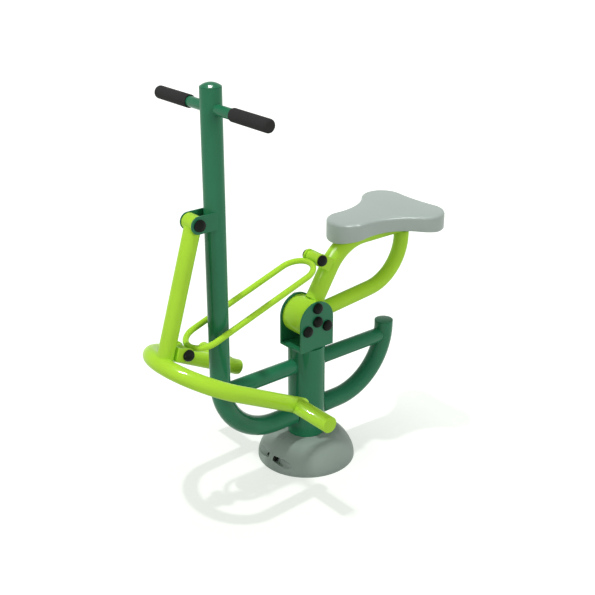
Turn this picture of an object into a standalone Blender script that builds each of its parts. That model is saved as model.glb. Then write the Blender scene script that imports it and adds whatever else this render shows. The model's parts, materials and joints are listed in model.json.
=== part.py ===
"""An outdoor gym rider: a fixed tube frame, a seat lever, a front arm with a foot bar and their link.

Metres, +Z up. +X points from the saddle to the handlebar and +Y to the rider's left.
The origin is on the post's axis, at the ground. The machine is the same on its left and right sides.
Run it with: blender --background --python part.py
"""

import math

import bmesh
import bpy
from mathutils import Matrix, Vector

# How pieces meet
SEAT_GAP = 0.0003
CUT_OVERRUN = 0.01
RIM_CHAMFER = 0.0012
PLATE_THICKNESS = 0.006

# Base cover
COVER_RADIUS = 0.1525
COVER_HEIGHT = 0.0875
COVER_WALL = 0.003
COVER_CHANNEL_RADIUS = 0.0115
COVER_CHANNEL_DEPTH = 0.018
COVER_CHANNEL_HEIGHT = 0.0335
COVER_CHANNEL_LENGTH = 0.08
COVER_LAND = 0.01
COVER_SCREW_HOLE = 0.009

# Base flange and ground anchors
FLANGE_CLEARANCE = 0.0095
FLANGE_RADIUS = COVER_RADIUS - COVER_WALL - FLANGE_CLEARANCE
FLANGE_THICKNESS = 0.012
ANCHOR_EDGE = 0.028
ANCHOR_CIRCLE_RADIUS = FLANGE_RADIUS - ANCHOR_EDGE
ANCHOR_COUNT = 4
ANCHOR_RADIUS = 0.008
ANCHOR_PLAY = 0.001
ANCHOR_NUT_RADIUS = 0.0139
ANCHOR_NUT_HEIGHT = 0.0148
ANCHOR_WASHER_RADIUS = 0.0165
ANCHOR_WASHER_THICKNESS = 0.003
ANCHOR_PROUD = 0.0042

# Post, column, riser and stretchers
POST_RADIUS = 0.05715
POST_WALL = 0.004
POST_TOP = 0.386
STRETCHER_RADIUS = 0.02415
STRETCHER_WALL = 0.003
STRETCHER_DROP = 0.0625
STRETCHER_HEIGHT = POST_TOP - STRETCHER_DROP
COLUMN_STEP = 0.00585
COLUMN_RADIUS = STRETCHER_RADIUS + COLUMN_STEP
COLUMN_WALL = 0.003
COLUMN_REACH = 0.3245
COLUMN_TOP = 1.219
KEEL_CLEARANCE = 0.0385
KEEL_HEIGHT = COVER_HEIGHT + KEEL_CLEARANCE + COLUMN_RADIUS
KEEL_BEND_RADIUS = 0.2
RISER_REACH = 0.326
RISER_STRAIGHT = 0.013
RISER_TOP = KEEL_HEIGHT + KEEL_BEND_RADIUS + RISER_STRAIGHT
CAP_CROWN = 0.0117
CAP_PLUG_DEPTH = 0.012
RISER_CAP_THICKNESS = 0.003

# Handlebar and grips
HANDLE_DROP = 0.056
HANDLE_HEIGHT = COLUMN_TOP - HANDLE_DROP
HANDLE_RADIUS = 0.015
HANDLE_WALL = 0.002
HANDLE_HALF_LENGTH = 0.244
GRIP_WALL = 0.0034
GRIP_RADIUS = HANDLE_RADIUS + GRIP_WALL
GRIP_CLOSURE = 0.006
GRIP_END = HANDLE_HALF_LENGTH + GRIP_CLOSURE
GRIP_LENGTH = 0.1525
GRIP_START = GRIP_END - GRIP_LENGTH
GRIP_ROUND = 0.007

# Axle, bearings, stops and hub
AXLE_RADIUS = 0.0125
BEARING_BODY = 0.0135
BEARING_RADIUS = AXLE_RADIUS + BEARING_BODY
BEARING_WIDTH = 0.015
STOP_BOLT_RADIUS = 0.006
STOP_BUFFER_WALL = 0.0032
STOP_BUFFER_RADIUS = STOP_BOLT_RADIUS + STOP_BUFFER_WALL
STOP_COUNT = 3
STOP_FIRST_ANGLE = math.radians(90)
SEAT_TRAVEL = math.radians(25)
SLOT_SIDE_PLAY = 0.0006
SLOT_RADIUS = STOP_BUFFER_RADIUS + SLOT_SIDE_PLAY
HUB_SLEEVE_WALL = 0.0035
HUB_INNER_LAND = 0.0047
HUB_OUTER_LAND = 0.001
HUB_RIM_WALL = 0.0035
STOP_CIRCLE_RADIUS = BEARING_RADIUS + HUB_SLEEVE_WALL + HUB_INNER_LAND + SLOT_RADIUS
HUB_RADIUS = STOP_CIRCLE_RADIUS + SLOT_RADIUS + HUB_OUTER_LAND + HUB_RIM_WALL
HUB_WEB_THICKNESS = 0.02
HUB_HALF_WIDTH = 0.0435
HUB_SIDE_PLAY = 0.001

# Axle bracket
AXLE_PLATE_RIM = 0.005
AXLE_PLATE_RADIUS = HUB_RADIUS + AXLE_PLATE_RIM
AXLE_BRACKET_HALF_WIDTH = HUB_HALF_WIDTH + HUB_SIDE_PLAY + PLATE_THICKNESS
AXLE_BASE_THICKNESS = 0.008
HUB_UNDER_CLEARANCE = 0.0237
AXLE_HEIGHT = POST_TOP + AXLE_BASE_THICKNESS + HUB_UNDER_CLEARANCE + HUB_RADIUS

# Bolt ends and their caps
PIN_PROUD = 0.004
CAP_PLAY = 0.0012
CAP_WALL = 0.0034
CAP_RADIUS = AXLE_RADIUS + CAP_PLAY + CAP_WALL
CAP_HEIGHT = 0.015

# Link, its bushes and its pins
PIVOT_PLAY = 0.0004
BUSH_END_PLAY = 0.0006
LINK_PIN_RADIUS = 0.008
LINK_OPEN_PLAY = 0.0054
LINK_BUSH_WALL = 0.0029
LINK_BUSH_RADIUS = LINK_PIN_RADIUS + LINK_OPEN_PLAY + LINK_BUSH_WALL
LINK_BAR_RADIUS = 0.009
LINK_COLUMN_CLEARANCE = 0.0176
LINK_HALF_WIDTH = COLUMN_RADIUS + LINK_COLUMN_CLEARANCE + LINK_BAR_RADIUS
LINK_LUG_RADIUS = 0.0198
LINK_LUG_HALF_WIDTH = 0.031
LUG_SEAT_SHARE = 0.75
LUG_WEB_RISE = 0.002

# Seat lever tubes
LEVER_FRONT_RADIUS = 0.0285
LEVER_FRONT_WALL = 0.003
LEVER_FRONT_LEAN = math.radians(31.9)
LEVER_FRONT_RUN = 0.1663
LEVER_FRONT_BEND_RADIUS = 0.1556
LEVER_STEP = 0.0046
LEVER_REAR_RADIUS = LEVER_FRONT_RADIUS - LEVER_STEP
LEVER_REAR_WALL = 0.003
LEVER_REAR_RISE = math.radians(5.8)
LEVER_REAR_RUN = 0.2566
LEVER_REAR_BEND_RADIUS = 0.15
LEVER_TAIL_OVERHANG = 0.0061
REAR_LUG_PLACE = 0.17174
REAR_LUG_CLEARANCE = 0.0236
REAR_LUG_REACH = LEVER_FRONT_RADIUS + LUG_WEB_RISE + REAR_LUG_CLEARANCE + LINK_BUSH_RADIUS

# Saddle and its plate, measured from the rear lever tube and from the plate's top
SADDLE_NOSE_RADIUS = 0.066
SADDLE_LOBE_RADIUS = 0.0678
SADDLE_LOBE_SIDE = 0.0888
SADDLE_LOBE_AHEAD = 0.001
SADDLE_NOSE_TO_LOBE = 0.227
SADDLE_WAIST_RADIUS = 0.214
SADDLE_TAIL_RADIUS = 0.575
SADDLE_RISE = 0.0344
SADDLE_SKIRT = 0.0236
SADDLE_NOSE_DROP = 0.011
SADDLE_WAIST_RISE = 0.008
SADDLE_ROUND = 0.016
SADDLE_WALL = 0.006
SADDLE_EDGE = 0.004
SADDLE_BOSS_RADIUS = 0.011
SADDLE_PLATE_CLEARANCE = 0.01
SADDLE_PLATE_HALF_WIDTH = SADDLE_NOSE_RADIUS - SADDLE_WALL - SADDLE_PLATE_CLEARANCE
SADDLE_PLATE_HALF_LENGTH = 0.085
SADDLE_PLATE_SETBACK = 0.0213
SADDLE_PLATE_THICKNESS = 0.005
SADDLE_HOLE_RADIUS = 0.0045
SADDLE_HOLE_INSET = 0.014

# Front arm, its clevis and the foot bar
ARM_RADIUS = 0.0238
ARM_WALL = 0.003
ARM_LENGTH = 0.4027
ARM_LEAN = math.radians(16.7)
FRONT_PIN_RADIUS = 0.01
ARM_HUB_WALL = 0.0135
ARM_HUB_RADIUS = FRONT_PIN_RADIUS + ARM_HUB_WALL
FRONT_CLEVIS_RIM = 0.0017
FRONT_CLEVIS_RADIUS = ARM_HUB_RADIUS + FRONT_CLEVIS_RIM
FRONT_CLEVIS_THICKNESS = 0.004
FRONT_CLEVIS_CLEARANCE = 0.0007
FRONT_CLEVIS_HALF_WIDTH = ARM_RADIUS + FRONT_CLEVIS_CLEARANCE + FRONT_CLEVIS_THICKNESS
FRONT_PIVOT_AHEAD = 0.0695
FRONT_PIVOT_HEIGHT = 0.863
LOWER_LUG_ABOVE_BAR = 0.0378
LOWER_LUG_PLACE = ARM_LENGTH - LOWER_LUG_ABOVE_BAR
LOWER_LUG_CLEARANCE = 0.01
LOWER_LUG_REACH = ARM_RADIUS + LUG_WEB_RISE + LOWER_LUG_CLEARANCE + LINK_BUSH_RADIUS
FOOT_BAR_RADIUS = 0.024
FOOT_BAR_WALL = 0.003
FOOT_BAR_OFFSET = 0.0102
FOOT_BAR_BEND_RADIUS = 0.161
FOOT_BAR_SLOPE = math.radians(27.2)
FOOT_BAR_LEG = 0.228
FOOT_BAR_OVERHANG = 0.032
FOOT_REST_LENGTH = 0.1515
VENT_HOLE_RADIUS = 0.004

# Facets
WIDE_SIDES = 32
HUB_SIDES = 24
TUBE_SIDES = 20
SMALL_SIDES = 16
CAP_SIDES = 12
ROD_SIDES = 12
BORE_SIDES = 10
HIDDEN_SIDES = 8
BEND_STEPS = 7
BORE_BEND_STEPS = 5
CAP_RINGS = 2
CROWN_RINGS = 3

X, Y, Z = Vector((1, 0, 0)), Vector((0, 1, 0)), Vector((0, 0, 1))
SIDES = (("left", 1), ("right", -1))


# Materials

def material(name, colour, roughness, metallic=0.0, coat=0.0):
    """A plain Principled material, made once for each name."""
    found = bpy.data.materials.get(name)
    if found:
        return found
    made = bpy.data.materials.new(name)
    made.use_nodes = True
    shader = made.node_tree.nodes["Principled BSDF"]
    shader.inputs["Base Color"].default_value = (*colour, 1.0)
    shader.inputs["Roughness"].default_value = roughness
    shader.inputs["Metallic"].default_value = metallic
    shader.inputs["Coat Weight"].default_value = coat
    made.diffuse_color = (*colour, 1.0)
    return made


def frame_green():
    return material("frame_green", (0.032, 0.17, 0.08), 0.35, coat=0.3)


def lever_green():
    return material("lever_green", (0.35, 0.66, 0.04), 0.35, coat=0.3)


def moulded_grey():
    return material("moulded_grey", (0.44, 0.5, 0.46), 0.5)


def cover_grey():
    return material("cover_grey", (0.2, 0.25, 0.21), 0.55)


def grip_black():
    return material("grip_black", (0.032, 0.032, 0.03), 0.7)


def cap_black():
    return material("cap_black", (0.02, 0.018, 0.018), 0.35)


def bare_steel():
    return material("bare_steel", (0.5, 0.5, 0.5), 0.35, metallic=1.0)


def buffer_rubber():
    return material("buffer_rubber", (0.02, 0.02, 0.02), 0.8)


# Making objects

def clear_scene():
    for old in list(bpy.data.objects):
        bpy.data.objects.remove(old, do_unlink=True)


def finish_mesh(bm, name, look, parent=None, smooth_below=math.radians(32)):
    """Turns bmesh data into a named object, faces out, with round walls shaded smooth."""
    bmesh.ops.remove_doubles(bm, verts=bm.verts, dist=SEAT_GAP / 10)
    bmesh.ops.recalc_face_normals(bm, faces=bm.faces)
    mesh = bpy.data.meshes.new(name)
    bm.to_mesh(mesh)
    bm.free()
    mesh.shade_smooth()
    mesh.set_sharp_from_angle(angle=smooth_below)
    made = bpy.data.objects.new(name, mesh)
    bpy.context.collection.objects.link(made)
    if look:
        made.data.materials.append(look)
    if parent:
        hang(made, parent)
    return made


def hang(piece, parent):
    """Parents a piece that is built in place, so that it keeps its place and turns on the parent's axis."""
    piece.data.transform(Matrix.Translation(-parent.location))
    piece.parent = parent


def pivot(name, place):
    """An empty on a joint's axis. The pieces that turn there are its children."""
    empty = bpy.data.objects.new(name, None)
    empty.location = place
    empty.empty_display_type = "SINGLE_ARROW"
    bpy.context.collection.objects.link(empty)
    return empty


def as_cutter(piece):
    piece.hide_render = True
    piece.display_type = "WIRE"
    return piece


def cut(piece, cutter, operation="DIFFERENCE"):
    """Adds a Boolean. The cutter shares the piece's parent, so that both are placed alike."""
    step = piece.modifiers.new(cutter.name, "BOOLEAN")
    step.operation = operation
    step.solver = "EXACT"
    step.object = cutter


# Round bars and tubes carried along a path

def disc(bm, centre, heading, across, radius, sides):
    """A round face square to the heading, with its edges."""
    other = heading.cross(across)
    turn = math.tau / sides
    face = bm.faces.new([
        bm.verts.new(centre + radius * (math.cos(k * turn) * across + math.sin(k * turn) * other))
        for k in range(sides)
    ])
    return [face] + list(face.edges)


def run(bm, geometry, step):
    """Extrudes a section straight on."""
    made = bmesh.ops.extrude_face_region(bm, geom=geometry)["geom"]
    moved = [v for v in made if isinstance(v, bmesh.types.BMVert)]
    bmesh.ops.translate(bm, verts=moved, vec=step)
    return made


def bend(bm, geometry, centre, axis, angle, steps):
    """Carries a section round a bend's centre."""
    made = bmesh.ops.spin(
        bm, geom=geometry, cent=centre, axis=axis, angle=angle, steps=steps, use_merge=False
    )
    return made["geom_last"]


def swept(start, heading, across, moves, radius, sides, bend_steps):
    """A round bar. A move is ("run", length) or ("bend", axis, radius, angle)."""
    bm = bmesh.new()
    last = disc(bm, start, heading, across, radius, sides)
    place, way = start.copy(), heading.copy()
    for kind, *values in moves:
        if kind == "run":
            place = place + way * values[0]
            last = run(bm, last, way * values[0])
        else:
            axis, bend_radius, angle = values
            centre = place + axis.cross(way) * bend_radius
            last = bend(bm, last, centre, axis, angle, max(1, round(bend_steps * angle / (math.pi / 2))))
            turn = Matrix.Rotation(angle, 3, axis)
            place = centre + turn @ (place - centre)
            way = turn @ way
    return bm


def bar(name, look, path, radius, parent=None, sides=TUBE_SIDES, bend_steps=BEND_STEPS):
    return finish_mesh(swept(*path, radius, sides, bend_steps), name, look, parent)


def envelope(name, path, radius, parent=None, sides=TUBE_SIDES):
    """A hidden solid that is one gap larger than a tube, to shape the ends that meet the tube."""
    return as_cutter(bar(name, None, path, radius + SEAT_GAP, parent, sides))


def tube(name, look, path, radius, wall, parent=None, far_closed=False, sides=TUBE_SIDES):
    """A bar with a bore, which stops one wall short of a closed end and runs out of an open one."""
    body = bar(name, look, path, radius, parent, sides)
    start, heading, across, moves = path
    beyond = -wall if far_closed else CUT_OVERRUN
    moves = [list(move) for move in moves]
    moves[0][1] += CUT_OVERRUN
    moves[-1][1] += beyond
    bore = start - heading * CUT_OVERRUN, heading, across, moves
    inside = bar(f"{name}_bore", None, bore, radius - wall, parent, BORE_SIDES, BORE_BEND_STEPS)
    cut(body, as_cutter(inside))
    return body


# Turned pieces

def turned(name, look, profile, centre, axis, parent=None, sides=TUBE_SIDES, closed_ring=True):
    """Spins a profile of (radius, distance along the axis) points round the axis."""
    bm = bmesh.new()
    across = X if abs(axis.dot(X)) < abs(axis.dot(Z)) or abs(axis.dot(Y)) > abs(axis.dot(X)) else Z
    points = [bm.verts.new(centre + radius * across + along * axis) for radius, along in profile]
    edges = [bm.edges.new(pair) for pair in zip(points, points[1:])]
    if closed_ring:
        edges.append(bm.edges.new((points[-1], points[0])))
    bmesh.ops.spin(
        bm, geom=edges, cent=centre, axis=axis, angle=math.tau, steps=sides, use_merge=False
    )
    return finish_mesh(bm, name, look, parent)


def rod(name, look, centre, axis, radius, half_length, parent=None, sides=SMALL_SIDES, chamfer=0.0):
    """A round bar, centred, with chamfered ends if a chamfer is given."""
    profile = [(0, -half_length)]
    if chamfer:
        profile += [(radius - chamfer, -half_length), (radius, chamfer - half_length)]
        profile += [(radius, half_length - chamfer), (radius - chamfer, half_length)]
    else:
        profile += [(radius, -half_length), (radius, half_length)]
    profile += [(0, half_length)]
    return turned(name, look, profile, centre, axis, parent, sides, closed_ring=False)


def sleeve(name, look, centre, axis, radius, bore, half_length, parent=None, sides=SMALL_SIDES):
    """A round bar with a bore, centred."""
    profile = [(bore, -half_length), (radius, -half_length), (radius, half_length), (bore, half_length)]
    return turned(name, look, profile, centre, axis, parent, sides)


def hole_cutter(name, centre, axis, radius, half_length, parent=None, sides=SMALL_SIDES):
    return as_cutter(rod(name, None, centre, axis, radius, half_length, parent, sides))


# Flat pieces

def extruded(name, look, outline, normal, low, high, parent=None):
    """A plate: a closed outline of points, carried along the normal from low to high."""
    bm = bmesh.new()
    face = bm.faces.new([bm.verts.new(point + low * normal) for point in outline])
    made = bmesh.ops.extrude_face_region(bm, geom=[face])["geom"]
    moved = [v for v in made if isinstance(v, bmesh.types.BMVert)]
    bmesh.ops.translate(bm, verts=moved, vec=(high - low) * normal)
    return finish_mesh(bm, name, look, parent)


def arc(centre, first, second, radius, start, end, steps):
    """Points on an arc in the plane of two unit vectors."""
    return [
        centre + radius * (math.cos(start + (end - start) * k / steps) * first
                           + math.sin(start + (end - start) * k / steps) * second)
        for k in range(steps + 1)
    ]


def tongue(centre, outward, radius, tail):
    """The outline of a plate with one round end, in the plane y = 0. Its tail runs back from there."""
    up = outward.cross(Y)
    nose = arc(centre, up, outward, radius, 0, math.pi, TUBE_SIDES // 2)
    return nose + [nose[-1] - tail * outward, nose[0] - tail * outward]


# Places

def at(forward, height, side=0.0):
    return Vector((forward, side, height))


AXLE = at(0, AXLE_HEIGHT)
LEVER_FRONT_WAY = Vector((-math.sin(LEVER_FRONT_LEAN), 0, math.cos(LEVER_FRONT_LEAN)))
LEVER_REAR_WAY = Vector((-math.cos(LEVER_REAR_RISE), 0, math.sin(LEVER_REAR_RISE)))
LINK_REAR = AXLE + REAR_LUG_PLACE * LEVER_FRONT_WAY + REAR_LUG_REACH * Y.cross(LEVER_FRONT_WAY)
FRONT_PIVOT = at(COLUMN_REACH + FRONT_PIVOT_AHEAD, FRONT_PIVOT_HEIGHT)
ARM_WAY = Vector((math.sin(ARM_LEAN), 0, -math.cos(ARM_LEAN)))
LINK_FRONT = FRONT_PIVOT + LOWER_LUG_PLACE * ARM_WAY + LOWER_LUG_REACH * Y.cross(ARM_WAY)
FOOT_BAR_PEAK = FRONT_PIVOT + ARM_LENGTH * ARM_WAY - FOOT_BAR_OFFSET * Y.cross(ARM_WAY)
FOOT_BAR_WAY = Vector((math.cos(FOOT_BAR_SLOPE), 0, math.sin(FOOT_BAR_SLOPE)))


# Paths of the bent tubes, each as start, heading, across and moves

def column_path():
    moves = [
        ("run", COLUMN_TOP - KEEL_HEIGHT - KEEL_BEND_RADIUS),
        ("bend", Y, KEEL_BEND_RADIUS, math.pi / 2),
        ("run", COLUMN_REACH - KEEL_BEND_RADIUS),
    ]
    return at(COLUMN_REACH, COLUMN_TOP), -Z, Y, moves


def riser_path():
    moves = [
        ("run", RISER_TOP - KEEL_HEIGHT - KEEL_BEND_RADIUS),
        ("bend", -Y, KEEL_BEND_RADIUS, math.pi / 2),
        ("run", RISER_REACH - KEEL_BEND_RADIUS),
    ]
    return at(-RISER_REACH, RISER_TOP), -Z, Y, moves


def post_path():
    start = FLANGE_THICKNESS + SEAT_GAP
    return at(0, start), Z, Y, [("run", POST_TOP - SEAT_GAP - start)]


def lever_front_path():
    turn = math.pi / 2 - LEVER_FRONT_LEAN
    bend_end = AXLE + LEVER_FRONT_WAY * LEVER_FRONT_RUN
    centre = bend_end - Y.cross(LEVER_FRONT_WAY) * LEVER_FRONT_BEND_RADIUS
    rear_end = lever_rear_top() - LEVER_REAR_RADIUS - LEVER_TAIL_OVERHANG
    moves = [
        ("run", LEVER_FRONT_RUN),
        ("bend", -Y, LEVER_FRONT_BEND_RADIUS, turn),
        ("run", centre.x - rear_end),
    ]
    return AXLE.copy(), LEVER_FRONT_WAY, Y, moves


def lever_rear_top():
    """How far forward the rear lever tube stands where it meets the front one."""
    bend_start = AXLE + LEVER_REAR_WAY * LEVER_REAR_RUN
    return (bend_start + Y.cross(LEVER_REAR_WAY) * LEVER_REAR_BEND_RADIUS).x - LEVER_REAR_BEND_RADIUS


def lever_rear_path():
    turn = math.pi / 2 - LEVER_REAR_RISE
    bend_start = AXLE + LEVER_REAR_WAY * LEVER_REAR_RUN
    centre = bend_start + Y.cross(LEVER_REAR_WAY) * LEVER_REAR_BEND_RADIUS
    moves = [
        ("run", LEVER_REAR_RUN),
        ("bend", Y, LEVER_REAR_BEND_RADIUS, turn),
        ("run", lever_top_height() - centre.z),
    ]
    return AXLE.copy(), LEVER_REAR_WAY, Y, moves


def lever_top_height():
    """The height of the front lever tube's axis where it runs level under the saddle."""
    bend_start = AXLE + LEVER_FRONT_WAY * LEVER_FRONT_RUN
    return (bend_start - Y.cross(LEVER_FRONT_WAY) * LEVER_FRONT_BEND_RADIUS).z + LEVER_FRONT_BEND_RADIUS


def foot_rest_joint():
    """The middle of the line between the two places where a rest's axis meets its leg's axis."""
    return FOOT_BAR_PEAK - FOOT_BAR_WAY * (FOOT_BAR_BEND_RADIUS + FOOT_BAR_LEG)


def foot_bar_path(end_wall=0.0):
    """From behind the left rest forward, round the front, and back behind the right rest."""
    leg = FOOT_BAR_LEG + FOOT_BAR_OVERHANG - end_wall
    up = FOOT_BAR_WAY.cross(Y)
    moves = [("run", leg), ("bend", -up, FOOT_BAR_BEND_RADIUS, math.pi), ("run", leg)]
    start = foot_rest_joint() + Y * FOOT_BAR_BEND_RADIUS - FOOT_BAR_WAY * (FOOT_BAR_OVERHANG - end_wall)
    return start, FOOT_BAR_WAY, up, moves


def foot_rest_path(side, end_wall=0.0):
    """From the leg's axis straight out to the side."""
    # The section starts half a step round from the leg's, so that no facet lies in one of the leg's.
    turn = Matrix.Rotation(math.pi / TUBE_SIDES, 3, Y)
    start = foot_rest_joint() + side * Y * FOOT_BAR_BEND_RADIUS
    return start, side * Y, turn @ FOOT_BAR_WAY, [("run", FOOT_REST_LENGTH - end_wall)]


def arm_path():
    """From the lower half of its hub to the upper half of the foot bar. Both then shape its ends."""
    moves = [("run", ARM_LENGTH - ARM_HUB_RADIUS / 2 - FOOT_BAR_RADIUS / 2)]
    return FRONT_PIVOT + ARM_WAY * ARM_HUB_RADIUS / 2, ARM_WAY, Y, moves


# Fixed frame

def base_flange():
    half = FLANGE_THICKNESS / 2
    plate = rod("base_flange", bare_steel(), at(0, half), Z, FLANGE_RADIUS, half, sides=TUBE_SIDES)
    for number, place in enumerate(anchor_places(), 1):
        cut(plate, hole_cutter(f"anchor_hole_{number}", place, Z, ANCHOR_RADIUS + ANCHOR_PLAY,
                               FLANGE_THICKNESS + CUT_OVERRUN, sides=HIDDEN_SIDES))


def anchor_places():
    turn = math.tau / ANCHOR_COUNT
    return arc(at(0, 0), X, Y, ANCHOR_CIRCLE_RADIUS, turn / 2, turn / 2 + math.tau, ANCHOR_COUNT)[:-1]


def anchor_bolts():
    """The threaded end that stands up from the foundation, with its washer and hexagon nut."""
    washer = FLANGE_THICKNESS + SEAT_GAP
    nut = washer + ANCHOR_WASHER_THICKNESS
    top = nut + ANCHOR_NUT_HEIGHT
    tip = top + ANCHOR_PROUD
    for number, place in enumerate(anchor_places(), 1):
        profile = [
            (0, 0), (ANCHOR_RADIUS, 0), (ANCHOR_RADIUS, washer), (ANCHOR_WASHER_RADIUS, washer),
            (ANCHOR_WASHER_RADIUS, nut), (ANCHOR_RADIUS, nut), (ANCHOR_RADIUS, tip), (0, tip),
        ]
        stud = turned(f"anchor_bolt_{number}", bare_steel(), profile, place, Z, sides=HIDDEN_SIDES,
                      closed_ring=False)
        hexagon = arc(place, X, Y, ANCHOR_NUT_RADIUS, 0, math.tau, 6)[:-1]
        nut_body = extruded(f"anchor_nut_{number}", None, hexagon, Z, nut - SEAT_GAP, top)
        cut(stud, as_cutter(nut_body), "UNION")


def post():
    tube("post", frame_green(), post_path(), POST_RADIUS, POST_WALL, sides=WIDE_SIDES)


def cover_profile():
    """The dome's outer line from the ground to the post, as (radius, height) points."""
    reach_shares = (1.0, 0.995, 0.965, 0.92, 0.86, 0.785, 0.69, 0.575, 0.46)
    rise_shares = (0.0, 0.14, 0.32, 0.48, 0.64, 0.79, 0.92, 0.985, 1.0)
    inner = POST_RADIUS + SEAT_GAP
    outer = [
        (COVER_RADIUS * reach, COVER_HEIGHT * rise)
        for reach, rise in zip(reach_shares, rise_shares)
        if COVER_RADIUS * reach > inner + COVER_WALL
    ]
    return outer + [(inner, COVER_HEIGHT)]


def base_cover():
    """Two moulded half shells that meet at the front and the back."""
    outer = cover_profile()
    roof = COVER_HEIGHT - COVER_WALL
    neck = outer[-1][0]
    inner = [
        (radius - COVER_WALL, min(height, roof))
        for radius, height in outer[:-1:2]
        if radius - COVER_WALL > neck
    ]
    profile = outer + [(neck, roof)] + inner[::-1]
    half_wall = COVER_WALL / 2
    middle = [(0, half_wall)]
    middle += [(radius - half_wall, max(height - half_wall, half_wall)) for radius, height in outer]
    core = as_cutter(turned("cover_core", None, middle + [(0, COVER_HEIGHT - half_wall)], at(0, 0), Z,
                            sides=WIDE_SIDES, closed_ring=False))
    for name, side in SIDES:
        bm = bmesh.new()
        points = [bm.verts.new(at(radius, height)) for radius, height in profile]
        edges = [bm.edges.new(pair) for pair in zip(points, points[1:] + points[:1])]
        made = bmesh.ops.spin(bm, geom=edges, cent=(0, 0, 0), axis=side * Z, angle=math.pi,
                              steps=WIDE_SIDES // 2, use_merge=False)
        last = [e for e in made["geom_last"] if isinstance(e, bmesh.types.BMEdge)]
        bmesh.ops.contextual_create(bm, geom=edges)
        bmesh.ops.contextual_create(bm, geom=last)
        bmesh.ops.translate(bm, verts=bm.verts, vec=side * SEAT_GAP / 2 * Y)
        shell = finish_mesh(bm, f"base_cover_{name}", cover_grey())
        for end, front in (("front", 1), ("back", -1)):
            screw_channel(shell, f"{name}_{end}", core, side, front)


def screw_channel(shell, name, core, side, front):
    """A trough along the seam's screw, with a land at the seam that the screw pulls against."""
    axis = at(front * (COVER_RADIUS - COVER_CHANNEL_DEPTH), COVER_CHANNEL_HEIGHT)
    half = COVER_CHANNEL_LENGTH / 2
    liner = rod(f"channel_liner_{name}", None, axis + side * (half + SEAT_GAP) * Y, Y,
                COVER_CHANNEL_RADIUS + COVER_WALL, half, sides=ROD_SIDES)
    cut(liner, core, "INTERSECT")
    cut(shell, as_cutter(liner), "UNION")
    cut(shell, hole_cutter(f"channel_{name}", axis + side * (COVER_LAND + half) * Y, Y,
                           COVER_CHANNEL_RADIUS, half, sides=ROD_SIDES))
    square = COVER_SCREW_HOLE / 2
    hole = [axis + a * square * X + b * square * Z for a, b in ((-1, -1), (1, -1), (1, 1), (-1, 1))]
    drill = extruded(f"screw_hole_{name}", None, hole, side * Y, -CUT_OVERRUN, COVER_LAND + CUT_OVERRUN)
    cut(shell, as_cutter(drill))


def column():
    body = tube("column", frame_green(), column_path(), COLUMN_RADIUS, COLUMN_WALL)
    cut(body, envelope("post_space", post_path(), POST_RADIUS, sides=WIDE_SIDES))
    cut(body, hole_cutter("handlebar_hole", at(COLUMN_REACH, HANDLE_HEIGHT), Y, HANDLE_RADIUS + SEAT_GAP,
                          COLUMN_RADIUS + CUT_OVERRUN))


def rear_riser():
    body = tube("rear_riser", frame_green(), riser_path(), COLUMN_RADIUS, COLUMN_WALL)
    cut(body, bpy.data.objects["post_space"])


def upright_reach(reach, height):
    """How far from the post the column's or the riser's axis is at a height, on its bend too."""
    below = max(0.0, KEEL_HEIGHT + KEEL_BEND_RADIUS - height)
    return reach - KEEL_BEND_RADIUS + math.sqrt(KEEL_BEND_RADIUS ** 2 - below ** 2)


def stretchers():
    """The level tubes. Each is shaped at both ends by the tubes that it joins."""
    level = at(0, STRETCHER_HEIGHT)
    spaces = {
        "front": (X, envelope("column_space", column_path(), COLUMN_RADIUS), COLUMN_REACH),
        "rear": (-X, envelope("riser_space", riser_path(), COLUMN_RADIUS), RISER_REACH),
    }
    for name, (way, space, reach) in spaces.items():
        reach = upright_reach(reach, STRETCHER_HEIGHT)
        body = tube(f"stretcher_{name}", frame_green(), (level, way, Y, [("run", reach)]), STRETCHER_RADIUS,
                    STRETCHER_WALL)
        cut(body, bpy.data.objects["post_space"])
        cut(body, space)


def dome_profile(radius, rim, crown):
    """A dome's line from its rim to its top, as (radius, height) points."""
    turns = [k * math.pi / 2 / CAP_RINGS for k in range(CAP_RINGS)]
    line = [(radius * math.cos(turn), rim + crown * math.sin(turn)) for turn in turns]
    return line + [(0, rim + crown)]


def shallow_dome(radius, rim, crown):
    """A slice of a ball from its rim to its top, as (radius, height) points."""
    ball = (radius ** 2 + crown ** 2) / (2 * crown)
    slope = math.asin(radius / ball)
    turns = [slope * (1 - k / CROWN_RINGS) for k in range(CROWN_RINGS)]
    line = [(ball * math.sin(turn), rim + crown - ball * (1 - math.cos(turn))) for turn in turns]
    return line + [(0, rim + crown)]


def tube_caps():
    """A domed plug in the column's top, and a flat plate on the riser's top."""
    # The plug clears the flats of the bore, which has few sides.
    plug = (COLUMN_RADIUS - COLUMN_WALL) * math.cos(math.pi / BORE_SIDES) - SEAT_GAP
    rim = COLUMN_TOP + SEAT_GAP
    dome = shallow_dome(COLUMN_RADIUS, rim, CAP_CROWN)
    inside = [(0, rim - CAP_PLUG_DEPTH), (plug, rim - CAP_PLUG_DEPTH), (plug, rim)]
    turned("column_cap", frame_green(), inside + dome, at(COLUMN_REACH, 0), Z, closed_ring=False)
    rod("riser_cap", frame_green(), at(-RISER_REACH, RISER_TOP + SEAT_GAP + RISER_CAP_THICKNESS / 2), Z,
        COLUMN_RADIUS, RISER_CAP_THICKNESS / 2, sides=TUBE_SIDES, chamfer=RIM_CHAMFER)


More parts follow.
